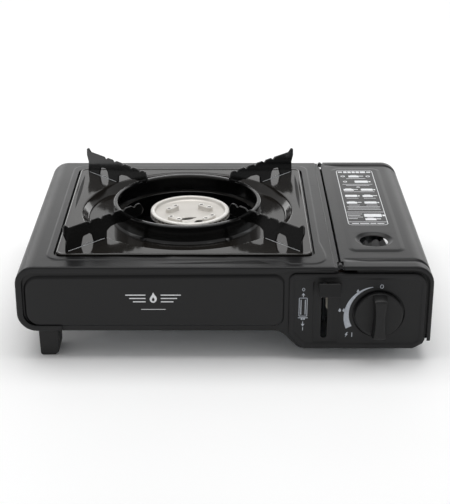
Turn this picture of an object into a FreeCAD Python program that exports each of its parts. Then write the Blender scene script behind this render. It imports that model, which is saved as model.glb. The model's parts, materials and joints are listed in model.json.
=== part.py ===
import FreeCAD, Part
import math
import os

import Sketcher
from FreeCAD import Placement, Rotation, Vector

# A portable one-burner gas stove with a canister bay on its right-hand side.
# Millimetres. +X is to the right as the user faces it, +Y is away from the user and +Z is up.
# The origin is on the ground, under the middle of the whole stove's box.

os.makedirs("parts", exist_ok=True)
doc = FreeCAD.newDocument("gas_stove")
sheet = doc.addObject("Spreadsheet::Sheet", "Sizes")

SIZES = (
    # casing
    ("body_width", 340), ("body_depth", 252), ("top_height", 85), ("skin", 0.8), ("shell_corner", 16),
    ("shell_under", 27), ("curl_reach", 36.4), ("rim_width", 5.2), ("seam_place", 263.2), ("seam_gap", 1.2),
    ("land_width", 4), ("land_drop", 0.6), ("plateau_start", 22.8), ("plateau_end", 250.8), ("plateau_near", 13.5),
    ("plateau_far", 243), ("plateau_rise", 0.6), ("ledge_width", 4),
    ("panel_recess", 2.2), ("field_rise", 1.3), ("fit_gap", 0.2),
    # canister bay
    ("bay_start", 228), ("bay_low", 11), ("divider_gap", 0.4), ("canister_height", 47.5),
    ("bay_lip", 20), ("bay_step", 15.5),
    # lid
    ("lid_rise", 0.5), ("lid_corner", 16), ("lid_low", 18.5), ("lid_field_rise", 0.8),
    ("sight_radius", 11.8), ("sight_dish_radius", 15.5), ("sight_depth", 1.7), ("sight_place", 55),
    ("pin_radius", 1), ("pin_length", 7), ("knuckle_radius", 1.9), ("hinge_drop", 0.8), ("run_gap", 0.05),
    # drip tray and its supports
    ("tray_place", 136.8), ("tray_middle", 125.6), ("tray_span", 211), ("tray_depth", 206.4), ("tray_gap", 2),
    ("tray_rise", 1.5),
    ("tray_lip", 4), ("dish_radius", 93.2), ("dish_floor_radius", 87.6), ("dish_depth", 7.3),
    ("collar_foot_radius", 67.5), ("collar_radius", 65.7), ("collar_roll", 3.9), ("collar_height", 16.3),
    ("support_rise", 20.5), ("support_ear", 3.2), ("support_reach", 138.4), ("support_tip", 52.6),
    ("support_thick", 1.6),
    # burner
    ("burner_shift", 2.3), ("burner_radius", 35.3), ("burner_rim", 4.3), ("burner_height", 85.5),
    ("burner_depth", 18), ("port_count", 40), ("tube_radius", 8), ("tube_wall", 1.2), ("tube_height", 60.5),
    ("pipe_radius", 2.5),
    # controls
    ("control_start", 222.5), ("control_end", 334.6), ("control_high", 78.8), ("knob_place", 296.2),
    ("knob_height", 42.85), ("knob_radius", 19.75), ("knob_well_gap", 1.2), ("knob_reach", 13),
    ("disc_reach", 3), ("grip_width", 11), ("grip_waist", 8.6), ("spindle_radius", 3),
    ("slot_start", 249), ("slot_end", 254.3), ("slot_low", 20.5), ("slot_high", 70.5),
    ("lever_reach", 50), ("lever_swing", 43.6), ("lever_length", 53.9), ("lever_thick", 2),
    ("crank_length", 6), ("crank_radius", 1.2), ("carriage_gap", 0.3),
    ("cam_radius", 8), ("cam_rise", 4), ("cam_turn", 120), ("cam_gap", 0.3), ("plunger_radius", 2),
    ("piezo_radius", 4.2), ("lead_radius", 1),
    # regulator
    ("regulator_radius", 16), ("regulator_start", 14), ("regulator_length", 26), ("inlet_radius", 12),
    ("inlet_bore", 6), ("inlet_length", 8), ("inlet_seat", 3),
    # feet
    ("foot_width", 16.6), ("foot_depth", 24), ("foot_start", 15.4), ("foot_setback", 10),
    ("pad_width", 24), ("pad_setback", 24), ("pad_place", 297),
)


class Size:
    """A number together with the spreadsheet expression that gives it."""

    def __init__(self, value, text):
        self.value, self.text = float(value), text

    def joined(self, sign, other, value):
        return Size(value, "(%s %s %s)" % (self.text, sign, as_size(other).text))

    def __add__(self, other):
        return self.joined("+", other, self.value + as_size(other).value)

    def __sub__(self, other):
        return self.joined("-", other, self.value - as_size(other).value)

    def __mul__(self, other):
        return self.joined("*", other, self.value * as_size(other).value)

    def __truediv__(self, other):
        return self.joined("/", other, self.value / as_size(other).value)

    def __radd__(self, other):
        return as_size(other) + self

    def __rsub__(self, other):
        return as_size(other) - self

    def __rmul__(self, other):
        return as_size(other) * self

    def __neg__(self):
        return Size(-self.value, "(0 - %s)" % self.text)

    def __float__(self):
        return self.value


def as_size(thing):
    return thing if isinstance(thing, Size) else Size(thing, repr(float(thing)))


def fill_sheet():
    sizes = {}
    for row, (alias, value) in enumerate(SIZES, start=1):
        sheet.set("A%d" % row, alias)
        sheet.set("B%d" % row, str(value))
        sheet.setAlias("B%d" % row, alias)
        sizes[alias] = Size(value, "Sizes." + alias)
    doc.recompute()
    return sizes


size = fill_sheet()
subparts = []


def bind(thing, **values):
    """Tie an object's properties to the sheet."""
    for name, value in values.items():
        thing.setExpression(name, as_size(value).text)


def bind_place(thing, x=0, y=0, z=0):
    for axis, value in (("x", x), ("y", y), ("z", z)):
        thing.setExpression("Placement.Base." + axis, as_size(value).text)


def keep(thing, label):
    """Name an object as one of the stove's own pieces."""
    thing.Label = label
    subparts.append(thing)
    return thing


# ---- solids that stand alone or join in booleans ----

def block(name, x, y, z):
    box = doc.addObject("Part::Box", name)
    bind(box, Length=as_size(x[1]) - x[0], Width=as_size(y[1]) - y[0], Height=as_size(z[1]) - z[0])
    bind_place(box, x[0], y[0], z[0])
    return box


TURNS = {"x": Rotation(Vector(0, 1, 0), 90), "y": Rotation(Vector(1, 0, 0), -90), "z": Rotation()}


def rod(name, axis, radius, x, y, z):
    """A cylinder along one axis; the place along that axis is a (start, end) pair."""
    place = {"x": x, "y": y, "z": z}
    start, end = place[axis]
    place[axis] = start
    cylinder = doc.addObject("Part::Cylinder", name)
    cylinder.Placement = Placement(Vector(), TURNS[axis])
    bind(cylinder, Radius=radius, Height=as_size(end) - start)
    bind_place(cylinder, **place)
    return cylinder


def fused(name, *things):
    joined = doc.addObject("Part::MultiFuse", name)
    joined.Shapes = list(things)
    joined.Refine = True
    return joined


def less(name, base, *tools):
    result = doc.addObject("Part::Cut", name)
    result.Base = base
    result.Tool = tools[0] if len(tools) == 1 else fused(name + "_tools", *tools)
    result.Refine = True
    return result


def solid(name, shape):
    """A shape made in code, for what no feature fits."""
    feature = doc.addObject("Part::Feature", name)
    feature.Shape = shape
    feature.Placement = Placement()
    return feature


# ---- bodies with sketches ----

def new_body(label):
    return keep(doc.addObject("PartDesign::Body", label), label)


def sketch_on(body, name, role, height=0):
    """A sketch on one of the body's own origin planes; XZ_Plane looks towards -Y."""
    sketch = body.newObject("Sketcher::SketchObject", name)
    sketch.AttachmentSupport = [(next(f for f in body.Origin.OriginFeatures if f.Role == role), "")]
    sketch.MapMode = "FlatFace"
    sketch.setExpression("AttachmentOffset.Base.z", as_size(height).text)
    return sketch


def constrain(sketch, kind, *where, value):
    index = sketch.addConstraint(Sketcher.Constraint(kind, *where, float(value)))
    sketch.setExpression("Constraints[%d]" % index, as_size(value).text)


def rectangle(sketch, across, along):
    (x0, x1), (y0, y1) = across, along
    first = sketch.GeometryCount
    corners = [Vector(float(x), float(y), 0) for x, y in ((x0, y0), (x1, y0), (x1, y1), (x0, y1))]
    sides = [Part.LineSegment(corners[i], corners[(i + 1) % 4]) for i in range(4)]
    sketch.addGeometry(sides, False)
    for i in range(4):
        sketch.addConstraint(Sketcher.Constraint("Coincident", first + i, 2, first + (i + 1) % 4, 1))
        sketch.addConstraint(Sketcher.Constraint("Vertical" if i % 2 else "Horizontal", first + i))
    for kind, side, value in (("DistanceX", 0, x0), ("DistanceY", 0, y0), ("DistanceX", 2, x1), ("DistanceY", 2, y1)):
        constrain(sketch, kind, -1, 1, first + side, 1, value=value)


def circle(sketch, radius, x=0, y=0):
    index = sketch.addGeometry(Part.Circle(Vector(float(x), float(y), 0), Vector(0, 0, 1), float(radius)), False)
    constrain(sketch, "Radius", index, value=radius)
    for kind, value in (("DistanceX", x), ("DistanceY", y)):
        if float(value):
            constrain(sketch, kind, -1, 1, index, 3, value=value)
        else:
            sketch.addConstraint(Sketcher.Constraint("PointOnObject", index, 3, -2 if kind == "DistanceX" else -1))


def rounded_edges(points):
    """Lines round the points, with an arc at each point that has a third value, its radius."""
    count = len(points)
    edges, ends = [], []
    for i, point in enumerate(points):
        corner = Vector(float(point[0]), float(point[1]), 0)
        radius = float(point[2]) if len(point) > 2 else 0
        if not radius:
            ends.append((corner, corner, None))
            continue
        before = Vector(*[float(v) for v in points[i - 1][:2]], 0) - corner
        after = Vector(*[float(v) for v in points[(i + 1) % count][:2]], 0) - corner
        before.normalize()
        after.normalize()
        half = before.getAngle(after) / 2
        middle = (before + after).normalize()
        reach = radius / math.tan(half)
        start, end = corner + before * reach, corner + after * reach
        crown = corner + middle * (radius / math.sin(half) - radius)
        ends.append((start, end, Part.Arc(start, crown, end)))
    for i in range(count):
        if ends[i][2]:
            edges.append(ends[i][2])
        start, end = ends[i][1], ends[(i + 1) % count][0]
        if start.distanceToPoint(end) > 1e-4:
            edges.append(Part.LineSegment(start, end))
    return edges


def outline(sketch, points):
    sketch.addGeometry(rounded_edges(points), False)


def pad(body, sketch, length, both_ways=False):
    feature = body.newObject("PartDesign::Pad", sketch.Name + "_pad")
    feature.Profile = sketch
    bind(feature, Length=length)
    if both_ways:
        feature.SideType = "Symmetric"
    return feature


def pocket(body, sketch, length, both_ways=False):
    feature = body.newObject("PartDesign::Pocket", sketch.Name + "_pocket")
    feature.Profile = sketch
    bind(feature, Length=length)
    if both_ways:
        feature.SideType = "Symmetric"
    return feature


def revolve(body, sketch):
    """Turn a sketch on the XZ plane about the body's Z axis."""
    feature = body.newObject("PartDesign::Revolution", sketch.Name + "_turned")
    feature.Profile = sketch
    feature.ReferenceAxis = (sketch, ["V_Axis"])
    feature.Angle = 360
    return feature


def body_block(body, name, x, y, z, cut=False):
    box = body.newObject("PartDesign::%sBox" % ("Subtractive" if cut else "Additive"), name)
    bind(box, Length=as_size(x[1]) - x[0], Width=as_size(y[1]) - y[0], Height=as_size(z[1]) - z[0])
    bind_place(box, x[0], y[0], z[0])
    return box


def body_rod(body, name, axis, radius, x, y, z, cut=False):
    place = {"x": x, "y": y, "z": z}
    start, end = place[axis]
    place[axis] = start
    cylinder = body.newObject("PartDesign::%sCylinder" % ("Subtractive" if cut else "Additive"), name)
    cylinder.Placement = Placement(Vector(), TURNS[axis])
    bind(cylinder, Radius=radius, Height=as_size(end) - start)
    bind_place(cylinder, **place)
    return cylinder


# ---- places that several pieces share ----

left, right = -size["body_width"] / 2, size["body_width"] / 2
front = (size["knob_reach"] - size["body_depth"]) / 2
rear = front + size["body_depth"]
top, skin = size["top_height"], size["skin"]
under = size["shell_under"]
seam = left + size["seam_place"]
lid_left = seam + size["seam_gap"]
lid_top = top + size["lid_rise"]
bay_left = left + size["bay_start"]
bay_floor = size["bay_low"] + skin
panel_face = front + size["panel_recess"]
panel_back = panel_face + skin
rear_face = rear - size["panel_recess"]
rear_back = rear_face - skin
tray_x, tray_y = left + size["tray_place"], front + size["tray_middle"]
tray_top = top + size["tray_rise"]
tray_under = tray_top - size["tray_lip"]
dish_floor = tray_top - size["dish_depth"]
collar_top = dish_floor + size["collar_height"]
burner_x = tray_x + size["burner_shift"]
knob_x, knob_z = left + size["knob_place"], size["knob_height"]
hinge_x, hinge_z = seam + size["seam_gap"] / 3, top - size["hinge_drop"]
regulator_face = front + size["regulator_start"]
regulator_back = regulator_face + size["regulator_length"]
inlet_back = regulator_back + size["inlet_length"]
slot_middle = left + (size["slot_start"] + size["slot_end"]) / 2
pivot_y, pivot_z = front + size["lever_reach"] - 2, (size["slot_low"] + size["slot_high"]) / 2
lever_left = slot_middle - size["lever_thick"] / 2
lever_right = lever_left + size["lever_thick"]
half_swing = size["lever_swing"].value / 2
pipe_y, pipe_z = front + 28, (size["slot_low"] + size["slot_high"]) / 2 + 22
lead_y, lead_z = front + 14, size["slot_high"] + 2.5
regulator_outlet_x, regulator_top = knob_x - 9, knob_z + 16
canister_z = size["canister_height"]


# ---- casing ----

def wrap_points(inset, end_x):
    """The shell's section seen from the front, moved inwards by an inset, from the seam to the curl's end."""
    radius = size["shell_corner"] - inset
    return [(end_x, top - inset), (left + inset, top - inset, radius),
            (left + inset, under + inset, radius), (left + size["curl_reach"], under + inset)]


def band(sketch, outer, inner):
    outline(sketch, outer + inner[::-1])


def make_top_shell():
    body = new_body("top_shell")
    wrap = sketch_on(body, "shell_section", "XZ_Plane", -rear)
    band(wrap, wrap_points(0, seam), wrap_points(skin, seam))
    pad(body, wrap, size["body_depth"])
    for name, height in (("front_rim", -front - skin), ("rear_rim", -rear)):
        rim = sketch_on(body, name, "XZ_Plane", height)
        band(rim, wrap_points(0, seam), wrap_points(size["rim_width"], seam))
        pad(body, rim, skin)
    gap, ledge = size["tray_gap"], size["ledge_width"]
    half_x, half_y = size["tray_span"] / 2 + gap, size["tray_depth"] / 2 + gap

    def about_tray(grow):
        return ((tray_x - half_x - grow, tray_x + half_x + grow), (tray_y - half_y - grow, tray_y + half_y + grow))

    border = ((left + size["plateau_start"], left + size["plateau_end"]),
              (front + size["plateau_near"], front + size["plateau_far"]))
    body_block(body, "raised_border", *border, (top, top + size["plateau_rise"]))
    body_block(body, "tray_well", *about_tray(skin), (tray_under - skin, top))
    body_block(body, "tray_opening", *about_tray(0), (tray_under, top + size["plateau_rise"]), cut=True)
    body_block(body, "tray_hole", *about_tray(-ledge), (tray_under - skin, top), cut=True)
    land = (seam - size["land_width"], seam)
    drop = size["land_drop"]
    body_block(body, "hinge_land", land, (front, rear), (top - drop - skin, top))
    body_block(body, "hinge_land_step", land, (front, rear), (top - drop, top), cut=True)
    body_block(body, "seam_hem", (seam - skin, seam), (front, rear), (top - 7, top - drop))
    notch = size["pin_length"] + 5
    for name, (start, end) in (("front_notch", (front, front + notch)), ("rear_notch", (rear - notch, rear))):
        body_block(body, name, (hinge_x - size["knuckle_radius"] - 0.3, seam), (start, end),
                   (top - 8, top + 1), cut=True)
    return body


def sheet_outline(low_left):
    """The outline that the front and rear sheets share, down to the canister bay's floor on the right."""
    gap = size["fit_gap"]
    edge = skin + gap
    radius = size["shell_corner"] - edge
    bay_low_edge = lid_top - size["rim_width"] - 1.3
    bay_high = lid_top - 2 * skin - 0.3
    return [(left + edge, top - edge, radius), (seam - 4, top - edge - size["land_drop"]),
            (seam - 4, bay_low_edge), (lid_left + 12, bay_low_edge), (lid_left + 13, bay_high),
            (right - 1.6, bay_high, size["lid_corner"] - 2 * skin), (right - 1.6, size["bay_low"] + 7),
            (right - 15, size["bay_low"]), (bay_left + 3.6, size["bay_low"], 7), (bay_left - 12.4, under, 13),
            (left + size["curl_reach"] + gap, under), (left + size["curl_reach"] + gap, low_left),
            (left + edge, low_left, radius - gap)]


def make_front_panel():
    body = new_body("front_panel")
    face = sketch_on(body, "front_sheet", "XZ_Plane", -panel_back)
    outline(face, sheet_outline(under + skin + size["fit_gap"]))
    pad(body, face, skin)
    field = [(left + 7.1, under + 49.3, 12), (bay_left - 9.3, under + 50.6, 8),
             (bay_left - 9.3, under + 4.5, 8), (left + 7.1, under + 4.5, 12)]
    raised = sketch_on(body, "raised_field", "XZ_Plane", -panel_face)
    outline(raised, field)
    pad(body, raised, size["field_rise"])
    hollow = sketch_on(body, "field_hollow", "XZ_Plane", -panel_back)
    outline(hollow, [(left + 7.9, under + 48.5, 11), (bay_left - 10.1, under + 49.8, 7),
                     (bay_left - 10.1, under + 5.3, 7), (left + 7.9, under + 5.3, 11)])
    hollow_cut = pocket(body, hollow, size["field_rise"])
    hollow_cut.Reversed = True
    body_rod(body, "spindle_hole", "y", size["spindle_radius"] + 1, knob_x, (panel_face - 1, panel_back + 1),
             knob_z, cut=True)
    body_block(body, "lever_slot", (left + size["slot_start"], left + size["slot_end"]),
               (panel_face - 1, panel_back + 1), (size["slot_low"], size["slot_high"]), cut=True)
    return body


def make_rear_panel():
    """The rear sheet, with two rows of upright vents behind the burner and four behind the canister."""
    body = new_body("rear_panel")
    face = sketch_on(body, "rear_sheet", "XZ_Plane", -rear_face)
    outline(face, sheet_outline(under + skin + size["fit_gap"]))
    pad(body, face, skin)
    pitch, slot = 14, 3
    for row, low in enumerate((under + 12, under + 34)):
        vents = sketch_on(body, "vent_row_%d" % (row + 1), "XZ_Plane", -rear_face - 1)
        rectangle(vents, (left + 40, left + 40 + slot), (low, low + 15))
        cut = pocket(body, vents, skin + 2, both_ways=True)
        pattern = body.newObject("PartDesign::LinearPattern", "vents_%d" % (row + 1))
        pattern.Originals = [cut]
        pattern.Direction = (vents, ["H_Axis"])
        pattern.Length, pattern.Occurrences = pitch * 11, 12
        body.Tip = pattern
    for index in range(4):
        start = bay_left + 38 + index * 14
        body_block(body, "bay_vent_%d" % (index + 1), (start, start + slot), (rear_back - 1, rear_face + 1),
                   (size["bay_low"] + 20, size["bay_low"] + 45), cut=True)
    return body


def make_base_pan():
    body = new_body("base_pan")
    plate = sketch_on(body, "pan_plate", "XY_Plane", under + skin)
    rectangle(plate, (left + size["shell_corner"] + 1, bay_left - size["divider_gap"]),
              (panel_back + 0.2, rear_back - 0.2))
    pad(body, plate, skin)
    for index in range(7):
        start = left + 46 + index * 22
        for place, (low, high) in (("front", (tray_y - 92, tray_y - 52)), ("rear", (tray_y + 52, tray_y + 92))):
            body_block(body, "pan_vent_%s_%d" % (place, index + 1), (start, start + 5), (low, high),
                       (under, under + 2 * skin + 1), cut=True)
    return body


def make_canister_tray():
    """The bay's floor, stepped up to its right-hand lip, with two low cradle ribs and three long vents."""
    body = new_body("canister_tray")
    floor = sketch_on(body, "bay_floor", "XY_Plane", size["bay_low"])
    step, lip = right - size["bay_step"], right - 2 * skin
    ledge = size["bay_low"] + 8
    ends = (panel_back + 0.2, rear_back - 0.2)
    rectangle(floor, (bay_left, step), ends)
    pad(body, floor, skin)
    body_block(body, "bay_step_wall", (step - skin, step), ends, (size["bay_low"], ledge))
    body_block(body, "bay_step_ledge", (step - skin, lip), ends, (ledge, ledge + skin))
    body_block(body, "bay_lip_wall", (lip - skin, lip), ends, (ledge, size["bay_low"] + size["bay_lip"]))
    for name, start in (("left_rib", knob_x - 17), ("right_rib", knob_x + 13)):
        body_block(body, name, (start, start + 4), (regulator_back + 30, rear_back - 24),
                   (size["bay_low"], canister_z - 30.4))
    for index, start in enumerate((knob_x - 6, knob_x + 3, knob_x + 22)):
        body_block(body, "bay_floor_vent_%d" % (index + 1), (start, start + 5),
                   (regulator_back + 24, rear_back - 40), (size["bay_low"] - 1, bay_floor + 1), cut=True)
    body_block(body, "ledge_vent", (step + 1.5, step + 6.5), (rear_back - 62, rear_back - 26),
               (ledge - 1, ledge + skin + 1), cut=True)
    for name, ends in (("front_corner", (panel_back, panel_back + 13)), ("rear_corner", (rear_back - 13, rear_back))):
        body_block(body, name, (bay_left - 1, bay_left + 5), ends,
                   (size["bay_low"] - 1, bay_floor + 1), cut=True)
    return body


def make_bay_divider():
    body = new_body("bay_divider")
    wall = sketch_on(body, "divider_wall", "YZ_Plane", bay_left)
    rectangle(wall, (panel_back + 0.2, rear_back - 0.2), (bay_floor, dish_floor - skin - 1))
    pad(body, wall, skin)
    body_rod(body, "pipe_hole", "x", size["pipe_radius"] + 1.5, (bay_left - 1, bay_left + skin + 1),
             pipe_y, pipe_z, cut=True)
    body_rod(body, "lead_hole", "x", size["lead_radius"] + 1.5, (bay_left - 1, bay_left + skin + 1),
             lead_y, lead_z, cut=True)
    for name, ends in (("front_corner", (panel_back, panel_back + 13)), ("rear_corner", (rear_back - 13, rear_back))):
        body_block(body, name, (bay_left - 1, bay_left + 2), ends, (bay_floor - 1, bay_floor + 4), cut=True)
    body_block(body, "foot_flange", (bay_left, bay_left + 9), (front + 70, rear - 20), (bay_floor, bay_floor + skin))
    return body


def make_control_panel():
    body = new_body("control_panel")
    start, end = left + size["control_start"], left + size["control_end"]
    low = size["bay_low"]
    face = sketch_on(body, "moulding", "XZ_Plane", -panel_face)
    outline(face, [(start, size["control_high"], 6), (end, size["control_high"], 11), (end, low + 5, 4),
                   (end - 9, low), (start + 12, low, 3), (start, low + 14, 5)])
    pad(body, face, size["panel_recess"])
    well = sketch_on(body, "knob_well", "XZ_Plane", -panel_face)
    circle(well, size["knob_radius"] + size["knob_well_gap"], knob_x, knob_z)
    pocket(body, well, 2 * size["panel_recess"], both_ways=True)
    body_block(body, "lever_recess", (slot_middle - 9.8, slot_middle + 12.9), (front - 1, front + 1),
               (size["slot_low"] - 4.7, size["slot_high"] + 2.4), cut=True)
    body_block(body, "control_slot", (left + size["slot_start"], left + size["slot_end"]),
               (front, panel_face + 1), (size["slot_low"], size["slot_high"]), cut=True)
    return body


# ---- lid ----

def lid_points(inset):
    radius = size["lid_corner"] - inset
    return [(lid_left, lid_top - inset), (right - inset, lid_top - inset, radius), (right - inset, size["lid_low"])]


def make_lid():
    body = new_body("lid")
    wrap = sketch_on(body, "lid_section", "XZ_Plane", -rear)
    band(wrap, lid_points(0), lid_points(skin))
    pad(body, wrap, size["body_depth"])
    for name, height in (("lid_front_rim", -front - skin), ("lid_rear_rim", -rear)):
        rim = sketch_on(body, name, "XZ_Plane", height)
        points = lid_points(size["rim_width"])
        rim_start = lid_left + 1.2
        outer = [(rim_start, lid_top)] + lid_points(0)[1:]
        band(rim, outer, [(rim_start, points[0][1])] + points[1:])
        pad(body, rim, skin)
    sight_x, sight_y = knob_x, front + size["sight_place"]
    body_block(body, "lid_field", (lid_left + 8.6, right - 20), (front + 33, rear - 19),
               (lid_top - skin, lid_top + size["lid_field_rise"]))
    low = lid_top + size["lid_field_rise"] - size["sight_depth"]
    body_rod(body, "sight_boss", "z", size["sight_dish_radius"] + skin, sight_x, sight_y, (low - skin, lid_top))
    body_rod(body, "sight_dish", "z", size["sight_dish_radius"], sight_x, sight_y, (low, lid_top + 2), cut=True)
    body_rod(body, "sight_hole", "z", size["sight_radius"], sight_x, sight_y, (low - 2, lid_top + 2), cut=True)
    ear = 1.5
    reach = size["pin_length"] + 2.6
    for name, start, end in (("front", front + 1.4, front + reach), ("rear", rear - reach, rear - 1.4)):
        body_rod(body, name + "_hinge_room", "y", size["knuckle_radius"] + 0.4, hinge_x, (start, end), hinge_z,
                 cut=True)
    for name, start in (("front_ear", front + 2.4), ("rear_ear", rear - 2.4 - ear)):
        body_block(body, name, (lid_left, lid_left + 9), (start, start + ear), (hinge_z - 5, lid_top - skin))
        body_rod(body, name + "_knuckle", "y", size["knuckle_radius"], hinge_x, (start, start + ear), hinge_z)
        body_rod(body, name + "_bore", "y", size["pin_radius"] + size["run_gap"], hinge_x,
                 (start - 1, start + ear + 1), hinge_z, cut=True)
    return body


def make_hinges():
    ear, gap = 1.5, 0.4
    for end, edge, inwards in (("front", front, 1), ("rear", rear, -1)):
        spans = []
        for reach in ((2, 2 + size["pin_length"]), (2.4 + ear + gap, 2.4 + 2 * ear + gap)):
            places = sorted((edge + inwards * reach[0], edge + inwards * reach[1]), key=float)
            spans.append(tuple(places))
        pin_span, ear_span = spans
        keep(rod(end + "_hinge_pin", "y", size["pin_radius"], hinge_x, pin_span, hinge_z), end + "_hinge_pin")
        plate = block(end + "_bracket_plate", (seam - 12, seam - skin), ear_span,
                      (top - 9, top - size["land_drop"] - skin))
        arm = block(end + "_bracket_arm", (seam - skin, hinge_x), ear_span, (hinge_z - 1.8, hinge_z))
        knuckle = rod(end + "_bracket_knuckle", "y", size["knuckle_radius"], hinge_x, ear_span, hinge_z)
        bore = rod(end + "_bracket_bore", "y", size["pin_radius"], hinge_x, pin_span, hinge_z)
        bracket = less(end + "_hinge_bracket", fused(end + "_bracket", plate, arm, knuckle), bore)
        keep(bracket, end + "_hinge_bracket")


def make_lid_catch():
    """A leaf on the bay's lip that the lid's side wall snaps over."""
    start, lip = front + 120, right - 2 * skin
    high = size["bay_low"] + size["bay_lip"]
    leaf = block("catch_leaf", (lip - skin - 0.6, lip - skin), (start, start + 16), (high - 11, high + 8))
    nose = rod("catch_nose", "y", 0.9, lip - 0.6, (start, start + 16), high + 7)
    keep(fused("lid_catch_spring", leaf, nose), "lid_catch_spring")


# ---- drip tray, collar and pan supports ----

def make_drip_tray():
    body = new_body("drip_tray")
    half_x, half_y = size["tray_span"] / 2, size["tray_depth"] / 2

    def tray_outline(inset, corner):
        x, y = half_x - inset, half_y - inset
        return [(-x, -y, corner), (x, -y, corner), (x, y, corner), (-x, y, corner)]

    plate = sketch_on(body, "tray_plate", "XY_Plane", tray_under)
    outline(plate, tray_outline(0, 5.5))
    pad(body, plate, size["tray_lip"])
    hollow = sketch_on(body, "tray_hollow", "XY_Plane", tray_under)
    outline(hollow, tray_outline(3, 3))
    cut = pocket(body, hollow, size["tray_lip"] - skin)
    cut.Reversed = True
    opening = sketch_on(body, "dish_opening", "XY_Plane", tray_top)
    circle(opening, size["dish_radius"])
    pocket(body, opening, size["tray_lip"])
    dish = sketch_on(body, "dish_section", "XZ_Plane")
    edge, floor_edge = size["dish_radius"], size["dish_floor_radius"]
    hole = size["collar_radius"] - size["collar_roll"]
    outline(dish, [(edge + 1, tray_top), (edge, tray_top), (floor_edge, dish_floor), (hole, dish_floor),
                   (hole, dish_floor - skin), (floor_edge + 0.2, dish_floor - skin),
                   (edge + 0.4, tray_top - skin), (edge + 1, tray_top - skin)])
    revolve(body, dish)
    bind_place(body, tray_x, tray_y, 0)
    return body


def make_collar():
    body = new_body("collar_ring")
    wall = sketch_on(body, "collar_section", "XZ_Plane")
    foot, outer = size["collar_foot_radius"], size["collar_radius"]
    inner = outer - size["collar_roll"]
    low, high = dish_floor, collar_top
    outline(wall, [(foot, low), (foot, low + skin), (outer, low + skin), (outer, high, 1),
                   (inner, high, 1), (inner, high - 2.4), (inner + skin, high - 2.4),
                   (inner + skin, high - skin), (outer - skin, high - skin), (outer - skin, low)])
    revolve(body, wall)
    bind_place(body, tray_x, tray_y, 0)
    return body


def support_points():
    """One pan support seen from its side: distance from the middle, and height."""
    reach, tip = size["support_reach"].value, size["support_tip"].value
    low, rise = tray_top.value, size["support_rise"].value
    high, ear, hook = low + rise, size["support_ear"].value, collar_top.value
    length = reach - tip
    pitch, dip = 0.142 * length, 2.1
    points = [(reach, low), (reach - 0.9, low + 9.8), (reach + 1.4, low + 16), (reach + 1.2, high + ear - 1.4, 1.2),
              (reach - 1, high + ear, 1), (reach - 4.6, high, 1.5)]
    notch = reach - 26.6
    while notch > tip + 8:
        points += [(notch + 2.7, high, 1.6), (notch, high - dip, 0.7), (notch - 2.7, high, 1.6)]
        notch -= pitch
    points += [(tip + 3.2, high, 3.6), (tip, high - 6.2, 3.6), (tip + 1.8, low + 9.3, 2), (tip + 7, low + 9.2, 1),
               (tip + 8.6, hook), (tip + 19, hook), (tip + 22, low + 8, 2.5), (tip + 29, low + 9.5, 4),
               (tip + 37, low + 8.6, 3), (tip + 41.3, low + 6, 2), (tip + 41.7, low), (tip + 55.6, low),
               (tip + 57.2, low + 6.5, 2), (tip + 59.6, low + 9.2, 2), (tip + 67, low + 8.4, 2), (tip + 69.5, low)]
    return points


def make_supports():
    for label, angle in (("front_right", -45), ("rear_right", 45), ("rear_left", 135), ("front_left", -135)):
        body = new_body("pan_support_" + label)
        side = sketch_on(body, "support_side_" + label, "XZ_Plane")
        outline(side, support_points())
        pad(body, side, size["support_thick"], both_ways=True)
        body.Placement = Placement(Vector(), Rotation(Vector(0, 0, 1), angle))
        bind_place(body, tray_x, tray_y, 0)


# ---- burner ----

def make_burner_bowl():
    body = new_body("burner_bowl")
    section = sketch_on(body, "bowl_section", "XZ_Plane")
    radius, high = size["burner_radius"], size["burner_height"] - 5
    low = size["burner_height"] - size["burner_depth"]
    wall = 2
    outline(section, [(0, low - 6, 0), (16, low - 6, 5), (radius - 6, low + 4, 4), (radius - 2, high),
                      (radius - 2 - wall, high), (radius - 8, low + 7, 4), (14, low - 3, 4), (0, low - 3)])
    revolve(body, section)
    body_rod(body, "bowl_neck", "x", size["tube_radius"] + 1.6, (16, radius + 6), 0, size["tube_height"])
    body_rod(body, "bowl_bore", "x", size["tube_radius"] + 0.02, (17, radius + 7), 0, size["tube_height"], cut=True)
    bind_place(body, burner_x, tray_y, 0)
    return body


def make_burner_cap():
    """The cap with its flame ports, a recessed top and four raised blocks with two jets each."""
    body = new_body("burner_cap")
    section = sketch_on(body, "cap_section", "XZ_Plane")
    radius, high = size["burner_radius"], size["burner_height"]
    inner, skirt = radius - size["burner_rim"], high - 5
    outline(section, [(0, high - 3), (inner, high - 3), (inner, high, 0.6), (radius, high, 1.2),
                      (radius, skirt), (radius - 2.2, skirt), (radius - 2.2, high - 4.5), (0, high - 4.5)])
    revolve(body, section)
    for index, angle in enumerate((50, 143, 232, 318)):
        x, y = 24 * math.cos(math.radians(angle)), 24 * math.sin(math.radians(angle))
        name = "cap_block_%d" % (index + 1)
        body_rod(body, name, "z", 6.4, x, y, (high - 3.2, high - 1))
        for side, offset in (("a", -12), ("b", 12)):
            turn = math.radians(angle + offset)
            body_rod(body, name + "_jet_" + side, "z", 0.9, 22 * math.cos(turn), 22 * math.sin(turn),
                     (high - 6, high), cut=True)
    ports = sketch_on(body, "flame_port", "XY_Plane", skirt)
    rectangle(ports, (radius - 3, radius + 1), (-0.6, 0.6))
    slot = pocket(body, ports, 3)
    slot.Reversed = True
    ring = body.newObject("PartDesign::PolarPattern", "flame_ports")
    ring.Originals = [slot]
    ring.Axis = (ports, ["N_Axis"])
    ring.Angle = 360
    bind(ring, Occurrences=size["port_count"])
    body.Tip = ring
    bind_place(body, burner_x, tray_y, 0)
    return body


def tube_end():
    return burner_x + size["burner_radius"] + 22


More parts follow.
